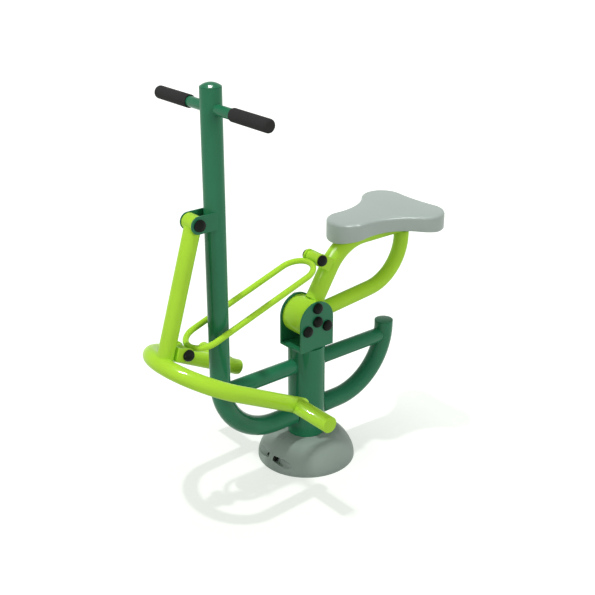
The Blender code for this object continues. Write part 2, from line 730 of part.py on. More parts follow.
def handlebar():
    middle = at(COLUMN_REACH, HANDLE_HEIGHT)
    sleeve("handlebar", frame_green(), middle, Y, HANDLE_RADIUS, HANDLE_RADIUS - HANDLE_WALL,
           HANDLE_HALF_LENGTH)
    bore = HANDLE_RADIUS + SEAT_GAP
    floor = HANDLE_HALF_LENGTH + SEAT_GAP
    for name, side in SIDES:
        crown = [
            (GRIP_RADIUS - GRIP_ROUND + GRIP_ROUND * math.cos(k * math.pi / 2 / CROWN_RINGS),
             GRIP_END - GRIP_ROUND + GRIP_ROUND * math.sin(k * math.pi / 2 / CROWN_RINGS))
            for k in range(CROWN_RINGS + 1)
        ]
        profile = [(0, floor), (bore, floor), (bore, GRIP_START), (GRIP_RADIUS, GRIP_START)]
        profile += crown + [(0, GRIP_END)]
        turned(f"grip_{name}", grip_black(), profile, middle, side * Y, sides=SMALL_SIDES, closed_ring=False)


def pivot_caps(name, centre, half_width, parent=None):
    """A hollow black dome over each end of a bolt."""
    inside = CAP_RADIUS - CAP_WALL
    rise = half_width + SEAT_GAP
    for side_name, side in SIDES:
        hollow = [(0, rise + CAP_HEIGHT - CAP_WALL), (inside, rise + PIN_PROUD + SEAT_GAP), (inside, rise)]
        profile = hollow + dome_profile(CAP_RADIUS, rise, CAP_HEIGHT)
        turned(f"{name}_cap_{side_name}", cap_black(), profile, centre, side * Y, parent, sides=CAP_SIDES,
               closed_ring=False)


def pin(name, centre, radius, half_width, parent=None):
    return rod(name, bare_steel(), centre, Y, radius, half_width + PIN_PROUD, parent)


def front_clevis():
    inside = FRONT_CLEVIS_HALF_WIDTH - FRONT_CLEVIS_THICKNESS
    outline = tongue(FRONT_PIVOT, X, FRONT_CLEVIS_RADIUS, FRONT_PIVOT_AHEAD)
    hole = hole_cutter("front_pivot_hole", FRONT_PIVOT, Y, FRONT_PIN_RADIUS + SEAT_GAP,
                       FRONT_CLEVIS_HALF_WIDTH + CUT_OVERRUN)
    for name, side in SIDES:
        plate = extruded(f"front_clevis_{name}", frame_green(), outline, side * Y, inside,
                         FRONT_CLEVIS_HALF_WIDTH)
        cut(plate, bpy.data.objects["column_space"])
        cut(plate, hole)
    pin("front_pivot_bolt", FRONT_PIVOT, FRONT_PIN_RADIUS, FRONT_CLEVIS_HALF_WIDTH)
    pivot_caps("front_pivot", FRONT_PIVOT, FRONT_CLEVIS_HALF_WIDTH)


def stop_places():
    last = STOP_FIRST_ANGLE + math.tau
    return arc(AXLE, X, Z, STOP_CIRCLE_RADIUS, STOP_FIRST_ANGLE, last, STOP_COUNT)[:-1]


def axle_bracket():
    """Two arched plates and the plate between them, which closes the post's top."""
    inside = AXLE_BRACKET_HALF_WIDTH - PLATE_THICKNESS
    outline = tongue(AXLE, Z, AXLE_PLATE_RADIUS, AXLE_HEIGHT - POST_TOP)
    through = AXLE_BRACKET_HALF_WIDTH + CUT_OVERRUN
    holes = [hole_cutter("axle_hole", AXLE, Y, AXLE_RADIUS + SEAT_GAP, through)]
    for number, place in enumerate(stop_places(), 1):
        holes.append(hole_cutter(f"stop_hole_{number}", place, Y, STOP_BOLT_RADIUS + SEAT_GAP, through,
                                 sides=ROD_SIDES))
    for name, side in SIDES:
        plate = extruded(f"axle_plate_{name}", frame_green(), outline, side * Y, inside,
                         AXLE_BRACKET_HALF_WIDTH)
        for hole in holes:
            cut(plate, hole)
    reach, half = AXLE_PLATE_RADIUS, inside - SEAT_GAP
    floor = [at(reach, 0, half), at(-reach, 0, half), at(-reach, 0, -half), at(reach, 0, -half)]
    extruded("axle_plate_base", frame_green(), floor, Z, POST_TOP, POST_TOP + AXLE_BASE_THICKNESS)


def axle_and_stops():
    pin("main_axle", AXLE, AXLE_RADIUS, AXLE_BRACKET_HALF_WIDTH)
    pivot_caps("main_axle", AXLE, AXLE_BRACKET_HALF_WIDTH)
    inside = AXLE_BRACKET_HALF_WIDTH - PLATE_THICKNESS - SEAT_GAP
    for number, place in enumerate(stop_places(), 1):
        rod(f"stop_bolt_{number}", bare_steel(), place, Y, STOP_BOLT_RADIUS,
            AXLE_BRACKET_HALF_WIDTH + PIN_PROUD, sides=ROD_SIDES)
        pivot_caps(f"stop_{number}", place, AXLE_BRACKET_HALF_WIDTH)
        sleeve(f"stop_buffer_{number}", buffer_rubber(), place, Y, STOP_BUFFER_RADIUS,
               STOP_BOLT_RADIUS + SEAT_GAP, inside, sides=ROD_SIDES)


# Seat lever

def hub(lever):
    """A drum with a bearing sleeve. The web between them has a curved slot for each stop bolt."""
    half = HUB_HALF_WIDTH
    web = HUB_WEB_THICKNESS / 2
    bearing = BEARING_RADIUS + SEAT_GAP
    shoulder = bearing - HUB_SLEEVE_WALL
    sleeve_outside = BEARING_RADIUS + HUB_SLEEVE_WALL
    rim_inside = HUB_RADIUS - HUB_RIM_WALL
    land = half - BEARING_WIDTH
    half_profile = [
        (shoulder, land), (bearing, land), (bearing, half), (sleeve_outside, half), (sleeve_outside, web),
        (rim_inside, web), (rim_inside, half), (HUB_RADIUS, half),
    ]
    profile = half_profile + [(radius, -along) for radius, along in half_profile[::-1]]
    drum = turned("hub", lever_green(), profile, AXLE, Y, lever, sides=HUB_SIDES)
    for number, slot in enumerate(stop_slots(web + CUT_OVERRUN, lever), 1):
        cut(drum, slot)


def stop_slots(half_depth, lever):
    """Each slot lets the hub turn forward by the seat's travel, from one buffer face to the other."""
    turn = math.tau / STOP_COUNT
    made = []
    for number in range(STOP_COUNT):
        # The hub turns forward, so a slot reaches back from its bolt by the travel.
        near = STOP_FIRST_ANGLE + number * turn
        far = near + SEAT_TRAVEL
        outside, inside = STOP_CIRCLE_RADIUS + SLOT_RADIUS, STOP_CIRCLE_RADIUS - SLOT_RADIUS
        near_centre = AXLE + STOP_CIRCLE_RADIUS * (math.cos(near) * X + math.sin(near) * Z)
        far_centre = AXLE + STOP_CIRCLE_RADIUS * (math.cos(far) * X + math.sin(far) * Z)
        outline = arc(AXLE, X, Z, outside, near, far, ROD_SIDES // 2)
        outline += arc(far_centre, X, Z, SLOT_RADIUS, far, far + math.pi, ROD_SIDES // 2)[1:-1]
        outline += arc(AXLE, X, Z, inside, far, near, ROD_SIDES // 2)
        outline += arc(near_centre, X, Z, SLOT_RADIUS, near + math.pi, near + math.tau, ROD_SIDES // 2)[1:-1]
        slot = extruded(f"stop_slot_{number + 1}", None, outline, Y, -half_depth, half_depth, lever)
        made.append(as_cutter(slot))
    return made


def bearings(lever):
    for name, side in SIDES:
        centre = AXLE + side * (HUB_HALF_WIDTH - BEARING_WIDTH / 2 + SEAT_GAP / 2) * Y
        sleeve(f"bearing_{name}", bare_steel(), centre, Y, BEARING_RADIUS, AXLE_RADIUS + SEAT_GAP,
               (BEARING_WIDTH - SEAT_GAP) / 2, lever, sides=TUBE_SIDES)


def lever_tubes(lever):
    hub_space = hole_cutter("hub_space", AXLE, Y, HUB_RADIUS + SEAT_GAP,
                            AXLE_BRACKET_HALF_WIDTH + CUT_OVERRUN, lever, sides=HUB_SIDES)
    front = tube("lever_front_tube", lever_green(), lever_front_path(), LEVER_FRONT_RADIUS,
                 LEVER_FRONT_WALL, lever, far_closed=True)
    cut(front, hub_space)
    front_space = envelope("lever_front_space", lever_front_path(), LEVER_FRONT_RADIUS, lever)
    rear = tube("lever_rear_tube", lever_green(), lever_rear_path(), LEVER_REAR_RADIUS, LEVER_REAR_WALL,
                lever)
    cut(rear, hub_space)
    cut(rear, front_space)
    lugs("rear", front, LINK_REAR, AXLE, Y.cross(LEVER_FRONT_WAY), lever_front_path(), LEVER_FRONT_RADIUS,
         LEVER_FRONT_WALL, lever)


def lugs(name, body, centre, foot, outward, path, radius, wall, parent):
    """A channel welded to the back of a tube: its two cheeks end round the link's pin."""
    reach = (centre - foot).dot(outward)
    along = outward.cross(Y)
    outline = tongue(centre, outward, LINK_LUG_RADIUS, reach - radius * LUG_SEAT_SHARE)
    block = extruded(f"{name}_lugs", None, outline, Y, -LINK_LUG_HALF_WIDTH, LINK_LUG_HALF_WIDTH, parent)
    floor = centre - (reach - radius - LUG_WEB_RISE) * outward
    beyond = reach + LINK_LUG_RADIUS
    corners = [
        floor + a * beyond * along + b * beyond * outward
        for a, b in ((-1, 0), (1, 0), (1, 1), (-1, 1))
    ]
    inside = LINK_LUG_HALF_WIDTH - PLATE_THICKNESS
    cut(block, as_cutter(extruded(f"{name}_lug_mouth", None, corners, Y, -inside, inside, parent)))
    cut(block, as_cutter(bar(f"{name}_lug_root", None, path, radius - wall / 2, parent)))
    cut(block, hole_cutter(f"{name}_lug_hole", centre, Y, LINK_PIN_RADIUS + SEAT_GAP,
                           LINK_LUG_HALF_WIDTH + CUT_OVERRUN, parent))
    cut(body, as_cutter(block), "UNION")


def saddle_plate_top():
    return lever_top_height() + LEVER_FRONT_RADIUS + SEAT_GAP + SADDLE_PLATE_THICKNESS


def saddle_lobe_back():
    return lever_rear_top() + SADDLE_LOBE_AHEAD


def saddle_plate_middle():
    return saddle_lobe_back() + SADDLE_NOSE_TO_LOBE / 2 - SADDLE_PLATE_SETBACK


def saddle_bolt_places():
    reach = SADDLE_PLATE_HALF_LENGTH - SADDLE_HOLE_INSET
    spread = SADDLE_PLATE_HALF_WIDTH - SADDLE_HOLE_INSET
    return [at(saddle_plate_middle() + a * reach, 0, b * spread) for a in (1, -1) for b in (1, -1)]


def saddle_plate(lever):
    """The steel plate on the front lever tube that carries the saddle."""
    top = saddle_plate_top()
    reach, half = SADDLE_PLATE_HALF_LENGTH, SADDLE_PLATE_HALF_WIDTH
    middle = at(saddle_plate_middle(), 0)
    corners = [middle + a * reach * X + b * half * Y for a, b in ((1, 1), (-1, 1), (-1, -1), (1, -1))]
    plate = extruded("saddle_plate", lever_green(), corners, Z, top - SADDLE_PLATE_THICKNESS, top, lever)
    for number, place in enumerate(saddle_bolt_places(), 1):
        cut(plate, hole_cutter(f"saddle_hole_{number}", place + top * Z, Z, SADDLE_HOLE_RADIUS,
                               SADDLE_PLATE_THICKNESS + CUT_OVERRUN, lever, sides=HIDDEN_SIDES))


def saddle_outline(inset, steps=6):
    """The saddle's plan, inset: nose circle, hollow waist, lobe circle and hollow tail, all tangent."""
    lobe = at(saddle_lobe_back(), 0, SADDLE_LOBE_SIDE)
    nose = at(saddle_lobe_back() + SADDLE_NOSE_TO_LOBE, 0)
    nose_radius, lobe_radius = SADDLE_NOSE_RADIUS - inset, SADDLE_LOBE_RADIUS - inset
    waist_radius, tail_radius = SADDLE_WAIST_RADIUS + inset, SADDLE_TAIL_RADIUS + inset
    apart = (lobe - nose).length
    to_nose, to_lobe = nose_radius + waist_radius, lobe_radius + waist_radius
    along = (to_nose ** 2 - to_lobe ** 2 + apart ** 2) / (2 * apart)
    toward = (lobe - nose) / apart
    outward = toward.cross(Z)
    outward = outward if outward.x > 0 else -outward
    waist = nose + along * toward + math.sqrt(to_nose ** 2 - along ** 2) * outward
    tail = at(saddle_lobe_back() - math.sqrt((lobe_radius + tail_radius) ** 2 - SADDLE_LOBE_SIDE ** 2), 0)

    def angle(origin, target):
        return math.atan2(target.y - origin.y, target.x - origin.x)

    half = arc(nose, X, Y, nose_radius, 0, angle(nose, waist), steps)
    first, last = angle(waist, nose) % math.tau, angle(waist, lobe) % math.tau
    half += arc(waist, X, Y, waist_radius, first, last, steps - 1)[1:]
    half += arc(lobe, X, Y, lobe_radius, angle(lobe, waist), angle(lobe, tail) % math.tau, steps + 3)[1:]
    half += arc(tail, X, Y, tail_radius, angle(tail, lobe), 0, steps // 2)[1:]
    return half + [Vector((point.x, -point.y, point.z)) for point in half[-2:0:-1]]


def saddle_skirt(point):
    """How low the saddle's edge hangs: lower at the nose, higher at the waist."""
    nose = saddle_lobe_back() + SADDLE_NOSE_TO_LOBE
    waist_reach = SADDLE_NOSE_TO_LOBE / 2
    nose_share = max(0.0, (point.x - nose) / SADDLE_NOSE_RADIUS)
    waist_share = max(0.0, 1.0 - ((point.x - nose + waist_reach) / waist_reach) ** 2)
    lift = SADDLE_WAIST_RISE * waist_share - SADDLE_NOSE_DROP * nose_share ** 2
    return saddle_plate_top() - SADDLE_SKIRT + lift


def saddle(lever):
    """A moulded shell, open below, with four bosses that stand on the saddle plate."""
    top = saddle_plate_top() + SADDLE_RISE
    roof = top - SADDLE_WALL
    bm = bmesh.new()
    layers = []
    for step in range(CROWN_RINGS + 1):
        turn = step * math.pi / 2 / CROWN_RINGS
        inset = SADDLE_ROUND * (1 - math.cos(turn))
        height = top - SADDLE_ROUND * (1 - math.sin(turn))
        layers.append([bm.verts.new(point + height * Z) for point in saddle_outline(inset)])
    for inset, rise in ((0, SADDLE_EDGE), (SADDLE_EDGE, 0), (SADDLE_WALL, 0)):
        outline = saddle_outline(inset)
        layers.insert(0, [bm.verts.new(point + (saddle_skirt(point) + rise) * Z) for point in outline])
    inner_round = SADDLE_ROUND - SADDLE_WALL
    for step in range(3):
        turn = step * math.pi / 4
        inset = SADDLE_WALL + inner_round * (1 - math.cos(turn))
        height = roof - inner_round * (1 - math.sin(turn))
        layers.insert(0, [bm.verts.new(point + height * Z) for point in saddle_outline(inset)])
    count = len(layers[0])
    for low, high in zip(layers, layers[1:]):
        for k in range(count):
            bm.faces.new((low[k], low[(k + 1) % count], high[(k + 1) % count], high[k]))
    for layer in (layers[0], layers[-1]):
        bm.faces.new(layer)
    shell = finish_mesh(bm, "saddle", moulded_grey(), lever, smooth_below=math.radians(50))
    foot, head = saddle_plate_top() + SEAT_GAP, roof + SADDLE_WALL / 2
    for number, place in enumerate(saddle_bolt_places(), 1):
        boss = sleeve(f"saddle_boss_{number}", None, place + (foot + head) / 2 * Z, Z, SADDLE_BOSS_RADIUS,
                      SADDLE_HOLE_RADIUS, (head - foot) / 2, lever, sides=HIDDEN_SIDES)
        cut(shell, as_cutter(boss), "UNION")


# Link

def link(parent):
    """A round bar bent into a closed loop round the column, with a cross bush inside each end."""
    way = (LINK_REAR - LINK_FRONT).normalized()
    up = way.cross(Y)
    apart = (LINK_REAR - LINK_FRONT).length
    end = LINK_BUSH_RADIUS + LINK_BAR_RADIUS + SEAT_GAP
    straight = apart - 2 * (end + LINK_HALF_WIDTH)
    start = LINK_FRONT + way * (end + LINK_HALF_WIDTH) + LINK_HALF_WIDTH * Y
    around = way.cross(-Y).normalized()
    far = start + way * straight
    bm = bmesh.new()
    circle = arc(start, up, Y, LINK_BAR_RADIUS, 0, math.tau, ROD_SIDES)[:-1]
    points = [bm.verts.new(point) for point in circle]
    edges = [bm.edges.new((points[k - 1], points[k])) for k in range(ROD_SIDES)]
    for centre, heading in ((far - LINK_HALF_WIDTH * Y, way), (start - LINK_HALF_WIDTH * Y, -way)):
        made = bmesh.ops.extrude_edge_only(bm, edges=edges)["geom"]
        moved = [v for v in made if isinstance(v, bmesh.types.BMVert)]
        bmesh.ops.translate(bm, verts=moved, vec=heading * straight)
        edges = [e for e in made if isinstance(e, bmesh.types.BMEdge)]
        made = bmesh.ops.spin(bm, geom=edges, cent=centre, axis=around, angle=math.pi, steps=ROD_SIDES,
                              use_merge=False)
        edges = [e for e in made["geom_last"] if isinstance(e, bmesh.types.BMEdge)]
    finish_mesh(bm, "link_bar", lever_green(), parent)
    half = LINK_LUG_HALF_WIDTH - PLATE_THICKNESS - BUSH_END_PLAY
    for name, centre, play in (("front", LINK_FRONT, LINK_OPEN_PLAY), ("rear", LINK_REAR, PIVOT_PLAY)):
        sleeve(f"link_bush_{name}", lever_green(), centre, Y, LINK_BUSH_RADIUS, LINK_PIN_RADIUS + play, half,
               parent)


# Front arm

def foot_bar(parent):
    """A U of tube with a foot rest coped onto each leg. One closed bore runs through all three."""
    inside = FOOT_BAR_RADIUS - FOOT_BAR_WALL
    body = bar("foot_bar", lever_green(), foot_bar_path(), FOOT_BAR_RADIUS, parent)
    for name, side in SIDES:
        cut(body, as_cutter(bar(f"foot_rest_{name}", None, foot_rest_path(side), FOOT_BAR_RADIUS, parent)),
            "UNION")
    bore = as_cutter(bar("foot_bar_bore", None, foot_bar_path(FOOT_BAR_WALL), inside, parent, BORE_SIDES,
                         BORE_BEND_STEPS))
    for name, side in SIDES:
        cut(bore, as_cutter(bar(f"foot_rest_bore_{name}", None, foot_rest_path(side, FOOT_BAR_WALL), inside,
                                parent, BORE_SIDES)), "UNION")
    cut(body, bore)
    return body


def front_arm(parent):
    half = FRONT_CLEVIS_HALF_WIDTH - FRONT_CLEVIS_THICKNESS - BUSH_END_PLAY
    sleeve("arm_hub", lever_green(), FRONT_PIVOT, Y, ARM_HUB_RADIUS, FRONT_PIN_RADIUS + PIVOT_PLAY, half,
           parent, sides=TUBE_SIDES)
    arm = tube("arm_tube", lever_green(), arm_path(), ARM_RADIUS, ARM_WALL, parent)
    cut(arm, hole_cutter("arm_hub_space", FRONT_PIVOT, Y, ARM_HUB_RADIUS + SEAT_GAP,
                         FRONT_CLEVIS_HALF_WIDTH + CUT_OVERRUN, parent, sides=TUBE_SIDES))
    rest = foot_bar(parent)
    cut(rest, hole_cutter("vent_hole", FOOT_BAR_PEAK - ARM_WAY * FOOT_BAR_RADIUS, ARM_WAY, VENT_HOLE_RADIUS,
                         2 * FOOT_BAR_WALL, parent, sides=ROD_SIDES))
    cut(arm, envelope("foot_bar_space", foot_bar_path(), FOOT_BAR_RADIUS, parent))
    lugs("lower", arm, LINK_FRONT, FRONT_PIVOT, Y.cross(ARM_WAY), arm_path(), ARM_RADIUS, ARM_WALL, parent)


def main():
    clear_scene()
    base_flange()
    anchor_bolts()
    post()
    base_cover()
    column()
    rear_riser()
    stretchers()
    tube_caps()
    handlebar()
    front_clevis()
    axle_bracket()
    axle_and_stops()
    lever = pivot("seat_lever_axis", AXLE)
    hub(lever)
    bearings(lever)
    lever_tubes(lever)
    saddle_plate(lever)
    saddle(lever)
    pin("rear_link_pin", LINK_REAR, LINK_PIN_RADIUS, LINK_LUG_HALF_WIDTH, lever)
    pivot_caps("rear_link", LINK_REAR, LINK_LUG_HALF_WIDTH, lever)
    link(pivot("link_axis", LINK_REAR))
    arm = pivot("front_arm_axis", FRONT_PIVOT)
    front_arm(arm)
    pin("lower_link_pin", LINK_FRONT, LINK_PIN_RADIUS, LINK_LUG_HALF_WIDTH, arm)
    pivot_caps("lower_link", LINK_FRONT, LINK_LUG_HALF_WIDTH, arm)


main()
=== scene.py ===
# %% [markdown]
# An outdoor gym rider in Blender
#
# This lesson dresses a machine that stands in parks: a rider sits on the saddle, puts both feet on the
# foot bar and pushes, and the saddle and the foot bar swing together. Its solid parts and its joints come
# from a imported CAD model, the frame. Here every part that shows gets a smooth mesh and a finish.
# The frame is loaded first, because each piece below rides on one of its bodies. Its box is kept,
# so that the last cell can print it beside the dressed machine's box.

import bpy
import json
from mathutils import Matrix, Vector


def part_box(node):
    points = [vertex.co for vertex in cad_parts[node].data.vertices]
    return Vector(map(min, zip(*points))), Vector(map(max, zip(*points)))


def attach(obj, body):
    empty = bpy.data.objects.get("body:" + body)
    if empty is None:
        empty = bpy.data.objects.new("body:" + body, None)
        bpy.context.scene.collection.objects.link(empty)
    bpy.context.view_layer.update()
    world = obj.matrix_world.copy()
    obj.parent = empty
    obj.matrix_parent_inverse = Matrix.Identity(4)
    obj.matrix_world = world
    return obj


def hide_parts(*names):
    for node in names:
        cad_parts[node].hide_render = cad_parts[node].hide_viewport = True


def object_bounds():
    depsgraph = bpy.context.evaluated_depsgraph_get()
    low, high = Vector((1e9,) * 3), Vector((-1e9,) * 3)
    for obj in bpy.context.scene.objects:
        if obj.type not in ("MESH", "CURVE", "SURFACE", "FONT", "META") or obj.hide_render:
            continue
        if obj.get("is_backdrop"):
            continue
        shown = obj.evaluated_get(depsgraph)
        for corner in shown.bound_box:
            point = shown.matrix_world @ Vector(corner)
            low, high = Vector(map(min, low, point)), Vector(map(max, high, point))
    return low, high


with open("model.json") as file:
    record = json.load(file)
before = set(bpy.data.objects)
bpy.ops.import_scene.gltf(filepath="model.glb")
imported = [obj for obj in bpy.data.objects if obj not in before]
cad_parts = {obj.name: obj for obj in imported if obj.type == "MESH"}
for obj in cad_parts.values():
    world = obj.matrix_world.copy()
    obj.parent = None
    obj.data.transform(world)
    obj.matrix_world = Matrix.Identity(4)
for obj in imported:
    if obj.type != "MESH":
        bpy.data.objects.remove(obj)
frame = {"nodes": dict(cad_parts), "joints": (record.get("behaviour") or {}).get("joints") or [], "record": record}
solid_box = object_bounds()
print("solid nodes:", len(frame["nodes"]))

# %% [markdown]
# Blender's own modules do the rest. bmesh edits meshes point by point, mathutils has vectors and
# rotations, and a BVH tree answers where a ray meets a surface, which the weld beads need later.
# One short helper puts each new object into the scene, and one gives millimetres for the prints.

# %% Bring in Blender's tools
import json
import math

import bmesh
import bpy
from mathutils import Matrix, Vector
from mathutils.bvhtree import BVHTree

X, Y, Z = Vector((1, 0, 0)), Vector((0, 1, 0)), Vector((0, 0, 1))
SIDES = (("left", 1), ("right", -1))


def in_scene(name, data):
    """A new object in the scene, from a mesh, a lamp or a camera."""
    thing = bpy.data.objects.new(name, data)
    bpy.context.scene.collection.objects.link(thing)
    return thing


def mm(metres):
    return round(metres * 1000, 1)


print("units: metres, +X forward, +Y to the rider's left, +Z up")

# %% [markdown]
# A camera with a long lens keeps the upright tubes nearly parallel, as in a product picture. It stands
# in front of the machine, on the rider's left, at a tall person's eye height, and looks down at 23 degrees.
# Its place and lens were found by matching the tubes' outlines, and not by eye.

# %% Set up the camera
lens = bpy.data.cameras.new("camera")
lens.sensor_width = 36
lens.lens = 63.82
camera = in_scene("camera", lens)
camera.location = (1.86203, 2.23478, 1.80039)
camera.rotation_euler = (math.radians(66.546), 0, math.radians(140.741))
bpy.context.scene.camera = camera
print("camera at", [round(value, 2) for value in camera.location])

# %% [markdown]
# Every finish here is a Principled shader with two kinds of detail. Slow noise moves the colour and the
# gloss a little from place to place, as real paint and moulded plastic do. Fine noise goes through
# a Bump node and gives the surface its grain. The noise is read in object coordinates, in metres,
# so that a scale of 1000 means one grain a millimetre, on every piece alike. Two short helpers make
# a node and fill its inputs, each with a value or with a link.

# %% Helpers for grained finishes
CLOUDS_A_METRE, CLOUD_DETAIL = 9, 3
TINT_STOPS = (0.3, 0.7)
GLOSS_CHANGE = 0.15


def feed(node, **inputs):
    """Fills a node's inputs. An output of another node is linked, and anything else is a value."""
    for name, value in inputs.items():
        socket = node.inputs[name.replace("_", " ")]
        if isinstance(value, bpy.types.NodeSocket):
            node.id_data.links.new(value, socket)
        else:
            socket.default_value = value
    return node


def new_node(tree, kind, **inputs):
    return feed(tree.nodes.new(f"ShaderNode{kind}"), **inputs)


def grained(name, colour, tint_change, roughness, grain_scale, grain_depth, cells=False, **sockets):
    """A Principled material with uneven tint and gloss, and a grain of that many cells a metre."""
    finish = bpy.data.materials.new(name)
    finish.use_nodes = True
    tree = finish.node_tree
    place = new_node(tree, "TexCoord").outputs["Object"]
    clouds = new_node(tree, "TexNoise", Vector=place, Scale=CLOUDS_A_METRE, Detail=CLOUD_DETAIL)
    clouds = clouds.outputs["Fac"]
    tint = new_node(tree, "ValToRGB", Fac=clouds)
    shares = (1 - tint_change, 1 + tint_change)
    for stop, position, share in zip(tint.color_ramp.elements, TINT_STOPS, shares):
        stop.position = position
        stop.color = (*[min(1, value * share) for value in colour], 1)
    gloss = new_node(tree, "MapRange", Value=clouds, To_Min=roughness * (1 - GLOSS_CHANGE),
                     To_Max=roughness * (1 + GLOSS_CHANGE))
    grain = new_node(tree, "TexVoronoi" if cells else "TexNoise", Vector=place, Scale=grain_scale)
    bump = new_node(tree, "Bump", Height=grain.outputs["Distance" if cells else "Fac"], Strength=1,
                    Distance=grain_depth)
    feed(tree.nodes["Principled BSDF"], Base_Color=tint.outputs["Color"], Roughness=gloss.outputs["Result"],
         Normal=bump.outputs["Normal"], **sockets)
    return finish

# %% [markdown]
# The steel tubes are powder coated: dry paint that is baked until it flows. It is glossy, but never as
# flat as glass. The slight waves are called orange peel, and they are a few millimetres across and some
# hundredths of a millimetre deep. A thin clear coat over the colour gives the sharp glints on the bends.

# %% Mix the two powder coats
dark_paint = grained(
    "dark_green_powder_coat", colour=(0.023, 0.19, 0.09), tint_change=0.04, roughness=0.3,
    grain_scale=260, grain_depth=0.00003, Specular_IOR_Level=0.05, Coat_Weight=0.35, Coat_Roughness=0.05,
)
light_paint = grained(
    "light_green_powder_coat", colour=(0.45, 0.78, 0.045), tint_change=0.03, roughness=0.32,
    grain_scale=260, grain_depth=0.00003, Specular_IOR_Level=0.03, Coat_Weight=0.2, Coat_Roughness=0.05,
)
print("paints:", dark_paint.name, "and", light_paint.name)

# %% [markdown]
# Five finishes are plastic or rubber. The saddle is moulded with a fine skin and a satin sheen. The base
# cover is duller and a little blotchy. The caps over the bolts are smooth and half glossy. The
# grips are foam rubber with tiny cells, so they get the Voronoi grain instead of noise, and the
# buffers inside the hub are plain rubber.

# %% Mix the plastics and rubbers
saddle_plastic = grained(
    "saddle_plastic", colour=(0.45, 0.52, 0.482), tint_change=0.015, roughness=0.4,
    grain_scale=1400, grain_depth=0.00002, Specular_IOR_Level=0.05, Coat_Weight=0.12, Coat_Roughness=0.12,
)
cover_plastic = grained(
    "cover_plastic", colour=(0.27, 0.33, 0.29), tint_change=0.05, roughness=0.5,
    grain_scale=900, grain_depth=0.00006, Specular_IOR_Level=0.25,
)
cap_plastic = grained(
    "cap_plastic", colour=(0.013, 0.015, 0.013), tint_change=0.1, roughness=0.35,
    grain_scale=700, grain_depth=0.00003, Specular_IOR_Level=0.08,
)
foam_rubber = grained(
    "foam_rubber", colour=(0.041, 0.04, 0.04), tint_change=0.08, roughness=0.8,
    grain_scale=700, grain_depth=0.00025, cells=True, Specular_IOR_Level=0.08,
)
buffer_rubber = grained(
    "buffer_rubber", colour=(0.018, 0.018, 0.018), tint_change=0.1, roughness=0.7,
    grain_scale=600, grain_depth=0.0001,
)
print("plastics and rubbers: 5")

# %% [markdown]
# Bolts, bearings and the base flange are zinc plated steel. Zinc is a metal with blurred reflections
# and a faint cloudy pattern, so its tint changes more than the paint's does.

# %% Mix the plated steel
plated_steel = grained(
    "zinc_plated_steel", colour=(0.56, 0.56, 0.54), tint_change=0.08, roughness=0.36,
    grain_scale=500, grain_depth=0.00005, Metallic=1.0,
)
print("metal:", plated_steel.name)

# %% [markdown]
# Pieces that stay as the CAD model has them still need these finishes. The frame names a material slot
# for each solid, so one table turns slots into finishes, and a loop hands them out.

# %% Paint the solid nodes
FINISH_FOR_SLOT = {
    "frame_green": dark_paint,
    "lever_green": light_paint,
    "moulded_grey": saddle_plastic,
    "cover_grey": cover_plastic,
    "grip_black": foam_rubber,
    "cap_black": cap_plastic,
    "bare_steel": plated_steel,
    "buffer_rubber": buffer_rubber,
}
slot_of_node = {part["node"]: part["material_slot"] for part in frame["record"]["subparts"]}
for name, solid in frame["nodes"].items():
    solid.data.materials.clear()
    solid.data.materials.append(FINISH_FOR_SLOT[slot_of_node[name]])
print("painted", len(frame["nodes"]), "solid nodes")

# %% [markdown]
# Most pieces below are made the same way: rings of points, one after another, with a skin of four-sided
# faces between them. It suits bent tubes, domes and the saddle alike. What is fixed is dark green and
# what moves is light green, unless a slot is named.

# %% Helpers that turn points into pieces
bodies = frame["record"]["behaviour"]["bodies"]
body_of_node = {node: body for body, nodes in bodies.items() for node in nodes}
made = {}


def mesh_from(name, bm):
    """The mesh of a bmesh, with its faces turned outward."""
    bmesh.ops.recalc_face_normals(bm, faces=bm.faces)
    mesh = bpy.data.meshes.new(name)
    bm.to_mesh(mesh)
    bm.free()
    return mesh


def keep(name, bm, body, stands_for=(), slot=None, sharp=32):
    """Makes a piece of a bmesh, shades and paints it, and lets it ride on its body."""
    slot = slot or ("frame_green" if body == "frame" else "lever_green")
    mesh = mesh_from(name, bm)
    mesh.shade_smooth()
    mesh.set_sharp_from_angle(angle=math.radians(sharp))
    mesh.materials.append(FINISH_FOR_SLOT[slot])
    piece = in_scene(name, mesh)
    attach(piece, body)
    if stands_for:
        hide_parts(*stands_for)
    made[name] = piece
    return piece


def skin(rings, round_again=False):
    """A bmesh with a skin over rings of points. It is closed by end faces, or by joining last to first."""
    bm = bmesh.new()
    layers = [[bm.verts.new(point) for point in ring] for ring in rings]
    pairs = list(zip(layers, layers[1:]))
    if round_again:
        pairs.append((layers[-1], layers[0]))
    for low, high in pairs:
        for k in range(len(low)):
            after = (k + 1) % len(low)
            bm.faces.new((low[k], low[after], high[after], high[k]))
    if not round_again:
        bm.faces.new(layers[0][::-1])
        bm.faces.new(layers[-1])
    return bm

# %% [markdown]
# A bent tube is drawn like a pipe fitter thinks of it: start here, run straight, bend round an axis, run
# again. Each station on the way has a centre and a heading, and the ring of points at a station
# is square to the heading.

# %% Helpers for bent tubes
TUBE_SIDES = 56
BEND_STEP = math.radians(5)


def stations(start, heading, moves):
    """The places along a tube, as centre and heading."""
    place, way = start.copy(), heading.copy()
    found = [(place, way)]
    for kind, *values in moves:
        if kind == "run":
            place = place + way * values[0]
            found.append((place, way))
        else:
            axis, radius, angle = values
            steps = max(2, round(angle / BEND_STEP))
            centre = place + axis.cross(way) * radius
            turn = Matrix.Rotation(angle / steps, 3, axis)
            for step in range(steps):
                place = centre + turn @ (place - centre)
                way = turn @ way
                found.append((place, way))
    return found


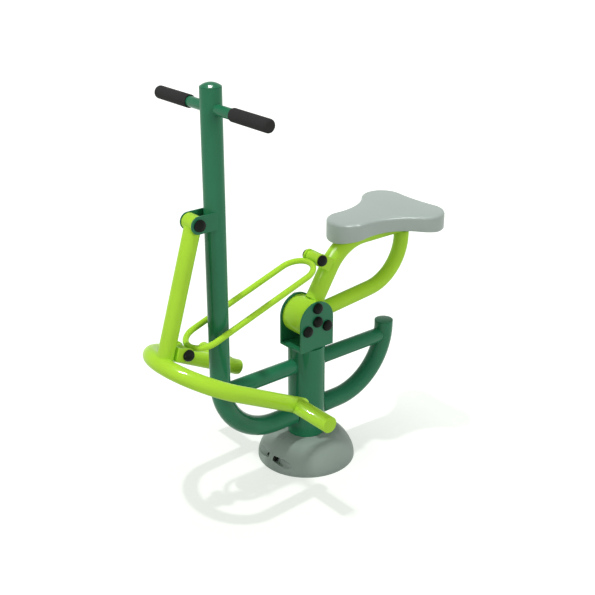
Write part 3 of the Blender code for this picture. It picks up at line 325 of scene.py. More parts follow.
def round_ring(centre, heading, across, radius, sides=TUBE_SIDES):
    """A circle of points square to the heading, the first of them across from the centre."""
    other = heading.cross(across)
    turns = [k * math.tau / sides for k in range(sides)]
    return [centre + radius * (math.cos(turn) * across + math.sin(turn) * other) for turn in turns]


def tube_rings(start, heading, across, moves, radius, edge=0.0012, sides=TUBE_SIDES):
    """Rings for a tube whose two ends have a small round edge."""
    path = stations(start, heading, moves)

    def end_rings(place, way, inward):
        return [round_ring(place + inward * way * edge * (1 - math.sin(turn)), way, across,
                           radius - edge * (1 - math.cos(turn)), sides)
                for turn in map(math.radians, (90, 60, 30, 0))]

    middle = [round_ring(centre, way, across, radius, sides) for centre, way in path[1:-1]]
    return end_rings(*path[0], 1) + middle + end_rings(*path[-1], -1)[::-1]

# %% [markdown]
# The post is the thick upright in the middle. It is a 114.3 mm steel tube that stands on the hidden base
# flange.

# %% Make the post
low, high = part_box("post")
POST_RADIUS = (high.y - low.y) / 2
rings = tube_rings(Z * low.z, Z, Y, [("run", high.z - low.z)], POST_RADIUS, sides=96)
post = keep("post_tube", skin(rings), "frame", ["post"])
print("post:", mm(POST_RADIUS * 2), "mm wide,", mm(high.z), "mm high")

# %% [markdown]
# The column is one tube from the handlebar down. It bends back through a large radius and runs level
# into the post. The rear riser mirrors it behind the post, with a short upright end. Bending one
# long tube is what a workshop does here too, because it saves welds where the load is highest.

# %% Make the column and the riser
KEEL_BEND, SUNK_IN, CAPPED_EDGE = 0.2, 0.004, 0.0006
low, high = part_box("column")
COLUMN_RADIUS = (high.y - low.y) / 2
COLUMN_REACH = high.x - COLUMN_RADIUS
COLUMN_TOP = high.z
KEEL_HEIGHT = low.z + COLUMN_RADIUS
inside_post = POST_RADIUS - SUNK_IN


def upright(name, reach, top, side, stands_for):
    """A tube that comes down that far from the post and bends toward it. In front, side is 1."""
    moves = [
        ("run", top - KEEL_HEIGHT - KEEL_BEND),
        ("bend", side * Y, KEEL_BEND, math.pi / 2),
        ("run", reach - KEEL_BEND - inside_post),
    ]
    rings = tube_rings(Vector((side * reach, 0, top)), -Z, Y, moves, COLUMN_RADIUS, CAPPED_EDGE)
    return keep(name, skin(rings), "frame", [stands_for])


column = upright("column_tube", COLUMN_REACH, COLUMN_TOP, 1, "column")
low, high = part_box("rear_riser")
RISER_REACH = -low.x - COLUMN_RADIUS
riser = upright("riser_tube", RISER_REACH, high.z, -1, "rear_riser")
print("column reaches", mm(COLUMN_REACH), "mm forward, riser", mm(RISER_REACH), "mm back")

# %% [markdown]
# Two level stretchers tie the uprights to the post, at one height. Their ends vanish inside the tubes
# that they join. The column and the riser still bend at that height, so a stretcher ends where
# the bend's centreline is, which Pythagoras gives.

# %% Make the stretchers
low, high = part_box("stretcher_front")
STRETCHER_RADIUS = (high.z - low.z) / 2
STRETCHER_HEIGHT = (high.z + low.z) / 2
below = KEEL_HEIGHT + KEEL_BEND - STRETCHER_HEIGHT
bend_back = KEEL_BEND - math.sqrt(KEEL_BEND ** 2 - below ** 2)
for end, way, reach in (("front", X, COLUMN_REACH), ("rear", -X, RISER_REACH)):
    start = Z * STRETCHER_HEIGHT + way * inside_post
    rings = tube_rings(start, way, Y, [("run", reach - bend_back - inside_post)], STRETCHER_RADIUS)
    keep(f"stretcher_{end}_tube", skin(rings), "frame", [f"stretcher_{end}"])
print("stretchers at", mm(STRETCHER_HEIGHT), "mm, bend set back", mm(bend_back), "mm")

# %% [markdown]
# Domes, caps, grips and bushes are round about an axis. A list of radii and heights is their profile,
# and spinning it gives the rings. A quarter of an ellipse is the profile of a low dome.

# %% Helpers for turned pieces
POINT = 0.00005


def turned(profile, centre, axis, sides=64):
    """Rings of a profile of (radius, distance) points round an axis. A radius of zero becomes a tiny ring."""
    across = Y if abs(axis.dot(Y)) < 0.5 else X
    return [round_ring(centre + axis * along, axis, across, max(radius, POINT), sides)
            for radius, along in profile]


def quarter(radius, rim, crown, steps):
    """A quarter ellipse from the rim up to the top, as profile points."""
    turns = [k * math.pi / 2 / steps for k in range(steps + 1)]
    return [(radius * math.cos(turn), rim + crown * math.sin(turn)) for turn in turns]

# %% [markdown]
# The column ends in a shallow domed cap, the riser in a flat plate with its edge ground round. Both are
# welded on and painted with the tube, so only a fine line shows at the joint.

# %% Close the two tube ends
JOINT_LINE, DOME_RIM, DOME_BEVEL, DOME_FOOT_SHARE, LID_EDGE = 0.0003, 0.0009, 0.0004, 0.7, 0.0011


def ball_slice(radius, rim, crown, steps=12):
    """A slice of a ball that is so wide and so high, as profile points from the rim to the top."""
    ball = (radius ** 2 + crown ** 2) / (2 * crown)
    turns = [math.asin(radius / ball) * (1 - k / steps) for k in range(steps + 1)]
    return [(ball * math.sin(turn), rim + crown - ball * (1 - math.cos(turn))) for turn in turns]


low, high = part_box("column_cap")
foot, rim = COLUMN_TOP + JOINT_LINE, COLUMN_TOP + DOME_RIM
profile = [(COLUMN_RADIUS * DOME_FOOT_SHARE, foot), (COLUMN_RADIUS - DOME_BEVEL, foot)]
profile += ball_slice(COLUMN_RADIUS, rim, high.z - rim)
keep("column_dome", skin(turned(profile, X * COLUMN_REACH, Z)), "frame", ["column_cap"])
print("column dome rises", mm(high.z - COLUMN_TOP), "mm")

low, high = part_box("riser_cap")
profile = [(COLUMN_RADIUS - CAPPED_EDGE, low.z), (COLUMN_RADIUS, low.z + CAPPED_EDGE)]
profile += [(COLUMN_RADIUS - LID_EDGE * (1 - math.cos(turn)), high.z - LID_EDGE * (1 - math.sin(turn)))
            for turn in (0, 0.5, 1.0, math.pi / 2)]
keep("riser_lid", skin(turned(profile, -X * RISER_REACH, Z)), "frame", ["riser_cap"])

# %% [markdown]
# The handlebar is a thin tube that goes straight through the column. Two foam grips are pushed onto its
# ends. Foam has no sharp corners: the outer end is a round nose, and the inner end has a soft lip that
# shows the tube going in.

# %% Make the handlebar and its grips
GRIP_LIP, LIP_SHARE, GRIP_NOSE, GRIP_SLACK, GRIP_MOUTH = 0.0016, 0.4, 0.007, 0.0002, 0.003
low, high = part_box("handlebar")
HANDLE_RADIUS = (high.z - low.z) / 2
handle_middle = Vector((COLUMN_REACH, 0, (high.z + low.z) / 2))
rings = tube_rings(handle_middle + Y * low.y, Y, X, [("run", high.y - low.y)], HANDLE_RADIUS, sides=40)
keep("handlebar_tube", skin(rings), "frame", ["handlebar"])

for end, side in SIDES:
    low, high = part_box(f"grip_{end}")
    grip_radius = (high.z - low.z) / 2
    start, stop = sorted((abs(low.y), abs(high.y)))
    profile = [(HANDLE_RADIUS + GRIP_SLACK, start + GRIP_MOUTH),
               (HANDLE_RADIUS + 2 * GRIP_SLACK, start + GRIP_LIP * LIP_SHARE)]
    profile += [(grip_radius - GRIP_LIP * (1 - math.sin(turn)), start + GRIP_LIP * (1 - math.cos(turn)))
                for turn in (0, 0.5, 1.0, math.pi / 2)]
    profile += [(grip_radius, start + share * (stop - start)) for share in (0.25, 0.5, 0.75)]
    profile += [(grip_radius - GRIP_NOSE * (1 - math.cos(turn)), stop - GRIP_NOSE * (1 - math.sin(turn)))
                for turn in (0, 0.3, 0.6, 0.9, 1.2, math.pi / 2)]
    keep(f"foam_grip_{end}", skin(turned(profile, handle_middle, side * Y)), "frame", [f"grip_{end}"],
         slot="grip_black", sharp=60)
print("grips:", mm(stop - start), "mm long,", mm(grip_radius * 2), "mm thick")

# %% [markdown]
# Brackets are cut from flat steel. A plate is an outline that is carried along its normal. Its rim edges
# are then bevelled by less than a millimetre, because a laser-cut edge under paint is never knife
# sharp, and the small curve catches a thin line of light. A Weighted Normal modifier
# keeps the large faces flat while the bevels shade smooth.

# %% Helpers for plates
def plate(name, outline, normal, low, high, edge, body, stands_for=()):
    """A flat piece from an outline of points, with all its edges bevelled."""
    bm = bmesh.new()
    face = bm.faces.new([bm.verts.new(point + low * normal) for point in outline])
    grown = bmesh.ops.extrude_face_region(bm, geom=[face])["geom"]
    moved = [v for v in grown if isinstance(v, bmesh.types.BMVert)]
    bmesh.ops.translate(bm, verts=moved, vec=(high - low) * normal)
    bmesh.ops.recalc_face_normals(bm, faces=bm.faces)
    sharp = [e for e in bm.edges if e.calc_face_angle(0) > math.radians(25)]
    bmesh.ops.bevel(bm, geom=sharp, offset=edge, segments=3, profile=0.5, affect="EDGES")
    piece = keep(name, bm, body, stands_for, sharp=40)
    piece.modifiers.new("even_faces", "WEIGHTED_NORMAL").keep_sharp = True


def arc(centre, first, second, radius, start, end, steps):
    """Points on an arc in the plane of two unit vectors."""
    turns = [start + (end - start) * k / steps for k in range(steps + 1)]
    return [centre + radius * (math.cos(turn) * first + math.sin(turn) * second) for turn in turns]


def tongue(centre, outward, radius, tail):
    """A plate's outline in the plane y = 0: one round end, and a straight end that far back."""
    up = outward.cross(Y)
    nose = arc(centre, up, outward, radius, 0, math.pi, 40)
    return nose + [nose[-1] - tail * outward, nose[0] - tail * outward]


def rectangle(low, high):
    """A level plate's outline: the plan of a box."""
    corners = ((high.x, high.y), (low.x, high.y), (low.x, low.y), (high.x, low.y))
    return [Vector((x, y, 0)) for x, y in corners]

# %% [markdown]
# Two round-nosed plates stand out from the column and carry the front arm's pivot. The plates end just
# inside the column's wall. The joints' places come from the record, so a bracket is always centred
# on the axis that its arm turns about.

# %% Make the front clevis
joint_place = {joint["name"]: Vector(joint["pos_m"]) for joint in frame["joints"]}
FRONT_PIVOT = joint_place["front_arm_swing"]
PLATE_EDGE, IN_WALL_SHARE = 0.0006, 0.25
low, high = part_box("front_clevis_left")
tail = FRONT_PIVOT.x - COLUMN_REACH - COLUMN_RADIUS * IN_WALL_SHARE
outline = tongue(FRONT_PIVOT, X, (high.z - low.z) / 2, tail)
for end, side in SIDES:
    plate(f"clevis_plate_{end}", outline, side * Y, low.y, high.y, PLATE_EDGE, "frame",
          [f"front_clevis_{end}"])
print("front pivot at", [mm(value) for value in FRONT_PIVOT], "mm")

# %% [markdown]
# The axle bracket stands on the post: two arched plates with a base plate between them. The seat lever's
# hub turns between the arches. The base plate closes the post, so that no rain gets in.

# %% Make the axle bracket
AXLE = joint_place["seat_lever_swing"]
ARCH_EDGE = 0.0008
low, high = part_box("axle_plate_left")
arch_radius = high.z - AXLE.z
outline = tongue(AXLE, Z, arch_radius, AXLE.z - low.z)
for end, side in SIDES:
    plate(f"axle_arch_{end}", outline, side * Y, low.y, high.y, ARCH_EDGE, "frame", [f"axle_plate_{end}"])
low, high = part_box("axle_plate_base")
plate("axle_floor", rectangle(low, high), Z, low.z, high.z, PLATE_EDGE, "frame", ["axle_plate_base"])
print("axle at", [mm(value) for value in AXLE], "mm, arch radius", mm(arch_radius), "mm")

# %% [markdown]
# A black plastic cap snaps over each bolt end, so that no thread or nut can catch a sleeve. It is a low
# dome on a short straight rim. There are fourteen of them, all alike, so one loop makes them: the
# frame's node names say which bolts have caps and on which side.

# %% Make the bolt caps
CAP_STEP, CAP_BEVEL, CAP_RIM_SHARE, CAP_HOLLOW_SHARE = 0.0004, 0.0005, 0.18, 0.8
capped = sorted(name for name in frame["nodes"] if name.endswith(("_cap_left", "_cap_right")))
for name in capped:
    low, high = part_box(name)
    side = 1 if name.endswith("left") else -1
    centre = Vector(((low.x + high.x) / 2, 0, (low.z + high.z) / 2))
    rim, top = sorted((abs(low.y), abs(high.y)))
    radius = (high.z - low.z) / 2
    wall = rim + CAP_RIM_SHARE * (top - rim)
    profile = [(radius * CAP_HOLLOW_SHARE, rim), (radius - CAP_STEP, rim), (radius, rim + CAP_BEVEL)]
    profile += quarter(radius, wall, top - wall, steps=10)
    keep(name.replace("_cap_", "_dome_"), skin(turned(profile, centre, side * Y, sides=40)),
         body_of_node[name], [name], slot="cap_black", sharp=50)
print("caps:", len(capped))

# %% [markdown]
# The hub is a turned drum. A sleeve in its middle holds two ball bearings, a web joins the sleeve to the
# rim, and three curved slots in the web let the stop bolts limit the swing. Spinning the profile
# gives the drum, and a Boolean modifier cuts each slot, as a milling cutter would.

# %% Make the hub
BEARING_RADIUS, BEARING_WIDTH, SLEEVE_WALL, RIM_WALL, WEB = 0.026, 0.015, 0.0035, 0.0035, 0.02
STOP_CIRCLE, SLOT_RADIUS, TRAVEL = 0.044, 0.0098, math.radians(25)
HUB_EDGE, ROUND_SHARE, BEARING_SLACK = 0.0008, 0.3, 0.0003
low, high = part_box("hub")
hub_radius = (high.x - low.x) / 2
half = high.y
seat = BEARING_RADIUS + BEARING_SLACK
half_profile = [
    (BEARING_RADIUS - SLEEVE_WALL, half - BEARING_WIDTH), (seat, half - BEARING_WIDTH),
    (seat, half), (BEARING_RADIUS + SLEEVE_WALL, half),
    (BEARING_RADIUS + SLEEVE_WALL, WEB / 2), (hub_radius - RIM_WALL, WEB / 2), (hub_radius - RIM_WALL, half),
    (hub_radius - HUB_EDGE, half),
    (hub_radius - HUB_EDGE * ROUND_SHARE, half - HUB_EDGE * ROUND_SHARE), (hub_radius, half - HUB_EDGE),
]
profile = half_profile + [(radius, -along) for radius, along in half_profile[::-1]]
hub = keep("hub_drum", skin(turned(profile, AXLE, Y, sides=96), round_again=True), "seat_lever", ["hub"])


def carve(piece, cutter, kind="DIFFERENCE"):
    """Applies one Boolean to a piece and removes the cutter."""
    step = piece.modifiers.new("carve", "BOOLEAN")
    step.operation, step.solver, step.object = kind, "EXACT", cutter
    bpy.context.view_layer.update()
    graph = bpy.context.evaluated_depsgraph_get()
    carved = bpy.data.meshes.new_from_object(piece.evaluated_get(graph))
    piece.modifiers.clear()
    old, piece.data = piece.data, carved
    bpy.data.meshes.remove(old)
    bpy.data.objects.remove(cutter, do_unlink=True)


def cutter_from(rings):
    return in_scene("cutter", mesh_from("cutter", skin(rings)))


for number in range(3):
    near = math.pi / 2 + number * math.tau / 3
    far = near + TRAVEL
    ends = [AXLE + STOP_CIRCLE * (math.cos(turn) * X + math.sin(turn) * Z) for turn in (near, far)]
    outline = arc(AXLE, X, Z, STOP_CIRCLE + SLOT_RADIUS, near, far, 12)
    outline += arc(ends[1], X, Z, SLOT_RADIUS, far, far + math.pi, 16)[1:-1]
    outline += arc(AXLE, X, Z, STOP_CIRCLE - SLOT_RADIUS, far, near, 12)
    outline += arc(ends[0], X, Z, SLOT_RADIUS, near + math.pi, near + math.tau, 16)[1:-1]
    carve(hub, cutter_from([[point + way * WEB for point in outline] for way in (-Y, Y)]))
print("hub:", len(hub.data.polygons), "faces with three slots")

# %% [markdown]
# The seat lever has two tubes. The front one leaves the hub leaning back, bends level and carries the
# saddle. The rear one leaves nearly level and bends up to meet it from below. Both start just
# inside the hub's rim. The first numbers are their angles, their straight runs and their bends.

# %% Make the seat lever's tubes
FRONT_LEAN, FRONT_RUN, FRONT_BEND, FRONT_RADIUS = math.radians(31.9), 0.1663, 0.1556, 0.0285
REAR_RISE, REAR_RUN, REAR_BEND = math.radians(5.8), 0.2566, 0.15
IN_RIM, LEVER_EDGE = 0.003, 0.002
front_way = Vector((-math.sin(FRONT_LEAN), 0, math.cos(FRONT_LEAN)))
rear_way = Vector((-math.cos(REAR_RISE), 0, math.sin(REAR_RISE)))
low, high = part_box("lever_front_tube")
bend_centre = AXLE + front_way * FRONT_RUN - Y.cross(front_way) * FRONT_BEND
lever_top = bend_centre.z + FRONT_BEND
inside_hub = hub_radius - IN_RIM
moves = [
    ("run", FRONT_RUN - inside_hub),
    ("bend", -Y, FRONT_BEND, math.pi / 2 - FRONT_LEAN),
    ("run", bend_centre.x - low.x),
]
rings = tube_rings(AXLE + front_way * inside_hub, front_way, Y, moves, FRONT_RADIUS, LEVER_EDGE)
lever_front = keep("lever_front_bend", skin(rings), "seat_lever", ["lever_front_tube"])

low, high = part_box("lever_rear_tube")
REAR_RADIUS = (high.y - low.y) / 2
bend_centre = AXLE + rear_way * REAR_RUN + Y.cross(rear_way) * REAR_BEND
moves = [
    ("run", REAR_RUN - inside_hub),
    ("bend", Y, REAR_BEND, math.pi / 2 - REAR_RISE),
    ("run", lever_top - FRONT_RADIUS + SUNK_IN - bend_centre.z),
]
rings = tube_rings(AXLE + rear_way * inside_hub, rear_way, Y, moves, REAR_RADIUS)
keep("lever_rear_bend", skin(rings), "seat_lever", ["lever_rear_tube"])
print("the lever runs level at", mm(lever_top), "mm")

# %% [markdown]
# A short steel channel is welded to a tube wherever the link is pinned. Its two cheeks end round the
# pin, and its web lies on the tube. Three plates make it: both cheeks and the web between.

# %% A helper for the link's brackets, and the rear bracket
LUG_RADIUS, LUG_HALF, LUG_THICKNESS = 0.0198, 0.031, 0.006
WEB_FOOT, WEB_TOP, LUG_EDGE, WEB_EDGE = 0.75, 1.07, 0.0007, 0.0004


def channel(name, centre, foot, way, tube_radius, body):
    """A pair of cheeks round a pin, on a web that rests on a tube which runs along the way."""
    outward = Y.cross(way).normalized()
    outward = outward if (centre - foot).dot(outward) > 0 else -outward
    reach = (centre - foot).dot(outward)
    outline = tongue(centre, outward, LUG_RADIUS, reach - tube_radius * WEB_FOOT)
    for end, side in SIDES:
        plate(f"{name}_cheek_{end}", outline, side * Y, LUG_HALF - LUG_THICKNESS, LUG_HALF, LUG_EDGE, body)
    along = outward.cross(Y)
    base = centre - outward * reach
    corners = [base + a * LUG_RADIUS * along + outward * tube_radius * b
               for a, b in ((-1, WEB_FOOT), (1, WEB_FOOT), (1, WEB_TOP), (-1, WEB_TOP))]
    plate(f"{name}_web", corners, Y, LUG_THICKNESS - LUG_HALF, LUG_HALF - LUG_THICKNESS, WEB_EDGE, body)


REAR_LINK = joint_place["link_swing"]
channel("rear_bracket", REAR_LINK, AXLE, front_way, FRONT_RADIUS, "seat_lever")
print("rear link pin at", [mm(value) for value in REAR_LINK], "mm")

# %% [markdown]
# The link is a round bar, bent into a closed loop like a chain link, because it has to go round the
# column. A cross bush is welded inside each end. The loop's path lies in the plane through both pins,
# so it is built from two straight runs and two half turns.

# %% Make the link
LINK_BAR, WELD_GAP, BUSH_EDGE = 0.009, 0.0003, 0.0008
FRONT_BORE, REAR_BORE = 0.0134, 0.0084
low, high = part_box("link_bush_front")
FRONT_LINK = (low + high) / 2
BUSH_RADIUS = (high.z - low.z) / 2
bush_half = high.y
LOOP_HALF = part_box("link_bar")[1].y - LINK_BAR
link_way = (REAR_LINK - FRONT_LINK).normalized()
link_up = link_way.cross(Y)
end = BUSH_RADIUS + LINK_BAR + WELD_GAP + LOOP_HALF
moves = [("run", (REAR_LINK - FRONT_LINK).length - 2 * end), ("bend", -link_up, LOOP_HALF, math.pi)] * 2
path = stations(FRONT_LINK + link_way * end + Y * LOOP_HALF, link_way, moves)[:-1]
rings = [round_ring(centre, way, link_up, LINK_BAR, sides=28) for centre, way in path]
keep("link_loop", skin(rings, round_again=True), "link", ["link_bar"])


def bush(name, centre, radius, bore, half, body, stands_for):
    """A short thick sleeve along Y with small round edges."""
    inset, end = radius - BUSH_EDGE, half - BUSH_EDGE
    profile = [(bore, -half), (inset, -half), (radius, -end), (radius, end), (inset, half), (bore, half)]
    keep(name, skin(turned(profile, centre, Y, sides=48), round_again=True), body, [stands_for])


bush("front_bush", FRONT_LINK, BUSH_RADIUS, FRONT_BORE, bush_half, "link", "link_bush_front")
bush("rear_bush", REAR_LINK, BUSH_RADIUS, REAR_BORE, bush_half, "link", "link_bush_rear")
print("link:", mm((REAR_LINK - FRONT_LINK).length), "mm between its pins")

# %% [markdown]
# The front arm hangs in the clevis. A sleeve at its top turns on the front bolt, a straight tube goes down
# to the foot bar, and a second channel on its back takes the link's lower pin.

# %% Make the arm
ARM_RADIUS, ARM_LENGTH, ARM_LEAN, ARM_BORE = 0.0238, 0.4027, math.radians(16.7), 0.0104
IN_SLEEVE_SHARE = 0.45
arm_way = Vector((math.sin(ARM_LEAN), 0, -math.cos(ARM_LEAN)))
low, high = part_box("arm_hub")
HUB_SLEEVE = (high.z - low.z) / 2
bush("arm_sleeve", FRONT_PIVOT, HUB_SLEEVE, ARM_BORE, high.y, "front_arm", "arm_hub")
in_sleeve = HUB_SLEEVE * IN_SLEEVE_SHARE
start = FRONT_PIVOT + arm_way * in_sleeve
rings = tube_rings(start, arm_way, Y, [("run", ARM_LENGTH - in_sleeve)], ARM_RADIUS)
keep("arm_bar", skin(rings), "front_arm", ["arm_tube"])
channel("front_bracket", FRONT_LINK, FRONT_PIVOT, arm_way, ARM_RADIUS, "front_arm")
print("arm:", mm(ARM_LENGTH), "mm long")

# %% [markdown]
# The foot bar is one tube bent into a U that goes round the column. It lies in a slanted plane, so its
# open ends are lower than the bend in front. A short foot rest stands out from each leg: its end
# is hollowed to fit the leg's side, and here it simply starts in the middle of the leg.

# %% Make the foot bar
FOOT_RADIUS, FOOT_OFFSET, FOOT_BEND, FOOT_LEG, FOOT_OVERHANG = 0.024, 0.0102, 0.161, 0.228, 0.032
REST_LENGTH, FOOT_EDGE, FOOT_SLOPE = 0.1515, 0.0015, math.radians(27.2)
foot_peak = FRONT_PIVOT + ARM_LENGTH * arm_way - FOOT_OFFSET * Y.cross(arm_way)
foot_way = Vector((math.cos(FOOT_SLOPE), 0, math.sin(FOOT_SLOPE)))
foot_up = foot_way.cross(Y)
rest_middle = foot_peak - foot_way * (FOOT_BEND + FOOT_LEG)
leg = ("run", FOOT_LEG + FOOT_OVERHANG)
start = rest_middle - foot_way * FOOT_OVERHANG + Y * FOOT_BEND
rings = tube_rings(start, foot_way, foot_up, [leg, ("bend", -foot_up, FOOT_BEND, math.pi), leg],
                   FOOT_RADIUS, FOOT_EDGE)
foot_bar = keep("foot_bar_bend", skin(rings), "front_arm", ["foot_bar"])
for name, side in SIDES:
    start = rest_middle + side * Y * FOOT_BEND
    rings = tube_rings(start, side * Y, foot_up, [("run", REST_LENGTH)], FOOT_RADIUS, FOOT_EDGE)
    keep(f"foot_rest_{name}", skin(rings), "front_arm")
low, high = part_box("foot_bar")
print("foot bar:", [mm(value) for value in high - low], "mm")

# %% [markdown]
# The saddle's plan is drawn with circles only: one round the nose, one round each lobe, and large hollow
# arcs for the waist and the tail, each tangent to its neighbours. The same rule with another
# inset draws the outline again, closer in, which is how the rounded edge and the crown are built.

# %% Draw the saddle's plan
NOSE_RADIUS, LOBE_RADIUS, LOBE_SIDE, NOSE_TO_LOBE = 0.066, 0.0678, 0.0888, 0.227
WAIST_RADIUS, TAIL_RADIUS = 0.214, 0.575
low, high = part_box("saddle")
saddle_top = high.z
nose_x = high.x - NOSE_RADIUS
lobe_x = nose_x - NOSE_TO_LOBE


def saddle_outline(inset, steps=14):
    """The plan, inset: nose circle, hollow waist, lobe circle and hollow tail."""
    nose, lobe = Vector((nose_x, 0, 0)), Vector((lobe_x, LOBE_SIDE, 0))
    nose_r, lobe_r = NOSE_RADIUS - inset, LOBE_RADIUS - inset
    waist_r, tail_r = WAIST_RADIUS + inset, TAIL_RADIUS + inset
    apart = (lobe - nose).length
    to_nose, to_lobe = nose_r + waist_r, lobe_r + waist_r
    along = (to_nose ** 2 - to_lobe ** 2 + apart ** 2) / (2 * apart)
    toward = (lobe - nose) / apart
    outward = toward.cross(Z)
    outward = outward if outward.x > 0 else -outward
    waist = nose + along * toward + math.sqrt(to_nose ** 2 - along ** 2) * outward
    tail = Vector((lobe_x - math.sqrt((lobe_r + tail_r) ** 2 - LOBE_SIDE ** 2), 0, 0))

    def angle(origin, target):
        return math.atan2(target.y - origin.y, target.x - origin.x)

    half = arc(nose, X, Y, nose_r, 0, angle(nose, waist), steps)
    first, last = angle(waist, nose) % math.tau, angle(waist, lobe) % math.tau
    half += arc(waist, X, Y, waist_r, first, last, steps)[1:]
    half += arc(lobe, X, Y, lobe_r, angle(lobe, waist), angle(lobe, tail) % math.tau, steps + 10)[1:]
    half += arc(tail, X, Y, tail_r, angle(tail, lobe), 0, steps // 2)[1:]
    return half + [Vector((point.x, -point.y, 0)) for point in half[-2:0:-1]]


plan = saddle_outline(0)
print("saddle plan:", len(plan), "points,", mm(max(p.y for p in plan) * 2), "mm wide")

# %% [markdown]
# The saddle is a moulded shell, open below. Rings of the plan go up the outer wall, round the top edge
# and in over a very slight crown. The lower edge hangs deeper at the nose than at the waist. The
# inner rings follow one wall's thickness away, so that the underside looks right too.

# %% Make the saddle
TOP_ROUND, SHELL_WALL, LOW_EDGE, CROWN, CROWN_INSET = 0.0105, 0.006, 0.004, 0.0022, 0.062
CEILING_INSETS, CROWN_INSETS = (0.052, 0.03, 0.014), (0.021, 0.028, 0.036, 0.045, 0.054, CROWN_INSET)
SKIRT, NOSE_DROP, WAIST_LIFT, INNER_HEM = 0.0236, 0.011, 0.008, 0.0006
plate_low, plate_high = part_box("saddle_plate")


def hem(point):
    """The height of the saddle's lower edge at a point of its plan."""
    nose_share = max(0.0, (point.x - nose_x) / NOSE_RADIUS)
    waist_share = max(0.0, 1.0 - ((point.x - nose_x + NOSE_TO_LOBE / 2) / (NOSE_TO_LOBE / 2)) ** 2)
    return plate_high.z - SKIRT - NOSE_DROP * nose_share ** 2 + WAIST_LIFT * waist_share


def level_ring(inset, height):
    return [Vector((point.x, point.y, height)) for point in saddle_outline(inset)]


def hem_ring(inset, rise):
    return [Vector((point.x, point.y, hem(point) + rise)) for point in saddle_outline(inset)]


edge_top = saddle_top - CROWN
inner_top, inner_round = edge_top - SHELL_WALL, TOP_ROUND - SHELL_WALL
rings = [level_ring(inset, inner_top) for inset in CEILING_INSETS]
rings += [level_ring(SHELL_WALL + inner_round * (1 - math.cos(turn)),
                     inner_top - inner_round * (1 - math.sin(turn))) for turn in (1.2, 0.8, 0.4, 0.0)]
rings.append(hem_ring(SHELL_WALL, INNER_HEM))
rings += [hem_ring(LOW_EDGE - LOW_EDGE * math.sin(turn), LOW_EDGE - LOW_EDGE * math.cos(turn))
          for turn in (0.0, 0.45, 0.9, 1.25, math.pi / 2)]
rings += [level_ring(TOP_ROUND * (1 - math.cos(turn)), edge_top - TOP_ROUND * (1 - math.sin(turn)))
          for turn in (k * math.pi / 20 for k in range(11))]
for inset in CROWN_INSETS:
    share = (inset - TOP_ROUND) / (CROWN_INSET - TOP_ROUND)
    rings.append(level_ring(inset, edge_top + CROWN * (1 - (1 - share) ** 2)))
saddle = keep("saddle_shell", skin(rings), "seat_lever", ["saddle"], slot="moulded_grey", sharp=55)
print("saddle:", len(saddle.data.polygons), "faces, top at", mm(saddle_top), "mm")

# %% [markdown]
# Under the saddle a steel plate is welded to the lever. Four bosses inside the shell stand on it, and
# a bolt with a washer comes up through each hole from below. Only someone who crouches sees them, but
# they are what holds the saddle, so they are here.

# %% Make the saddle plate, the bosses and the bolts
plate("saddle_carrier", rectangle(plate_low, plate_high), Z, plate_low.z, plate_high.z, LUG_EDGE,
      "seat_lever", ["saddle_plate"])
HOLE_INSET, BOSS_FOOT, BOSS_TOP, BOSS_BORE, BOSS_DEPTH = 0.014, 0.011, 0.0105, 0.0045, 0.005
WASHER = ((0.0085, 0.0001), (0.0085, 0.0016), (0.0064, 0.0017))
BOLT = ((0.0075, 0.002), (0.0075, 0.0066), (0.0066, 0.0072))
HEXAGON, HEXAGON_SHARP = 6, 20
plate_middle = (plate_low + plate_high) / 2
hold_x = plate_high.x - plate_middle.x - HOLE_INSET
hold_y = plate_high.y - HOLE_INSET
boss_low = plate_high.z + WELD_GAP
boss = [(BOSS_BORE, boss_low), (BOSS_FOOT, boss_low), (BOSS_TOP, saddle_top - BOSS_DEPTH)]
washer, bolt = ([(radius, plate_low.z - drop) for radius, drop in piece] for piece in (WASHER, BOLT))
for number, (a, b) in enumerate(((1, 1), (1, -1), (-1, 1), (-1, -1)), 1):
    place = Vector((plate_middle.x + a * hold_x, b * hold_y, 0))
    for name, profile, sides, slot, sharp in (
        ("boss", boss, 32, "moulded_grey", 32),
        ("washer", washer, 32, "bare_steel", 32),
        ("bolt", bolt, HEXAGON, "bare_steel", HEXAGON_SHARP),
    ):
        keep(f"saddle_{name}_{number}", skin(turned(profile, place, Z, sides)), "seat_lever", slot=slot,
             sharp=sharp)
print("saddle bolts:", number)

# %% [markdown]
# The base cover hides the anchor bolts. It is moulded in two halves that close round the post and meet on
# a seam at the front and the back. Each half is half a turn of one profile. At each seam
# a black bolt pulls the halves together, with its head in one rounded trough and its nut in the
# other. The troughs and the square holes behind them are cut with Booleans.

# %% Make the base cover
low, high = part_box("base_cover_left")
COVER_RADIUS, COVER_HEIGHT, COVER_WALL = (high.x - low.x) / 2, high.z, 0.003
SEAM = low.y
COVER_TROUGH, TROUGH_DEPTH, TROUGH_HEIGHT, TROUGH_LENGTH = 0.0115, 0.018, 0.0335, 0.08
LAND, SCREW_HOLE, LINER_INSET, CORE_RADIUS = 0.01, 0.009, 0.0015, 0.001
LINER_EDGE, TROUGH_EDGE, TROUGH_SIDES, COVER_SHARP = 0.0005, 0.0012, 40, 38
REACH_SHARES = (1.0, 0.995, 0.965, 0.92, 0.86, 0.785, 0.69, 0.575, 0.46)
RISE_SHARES = (0.0, 0.14, 0.32, 0.48, 0.64, 0.79, 0.92, 0.985, 1.0)


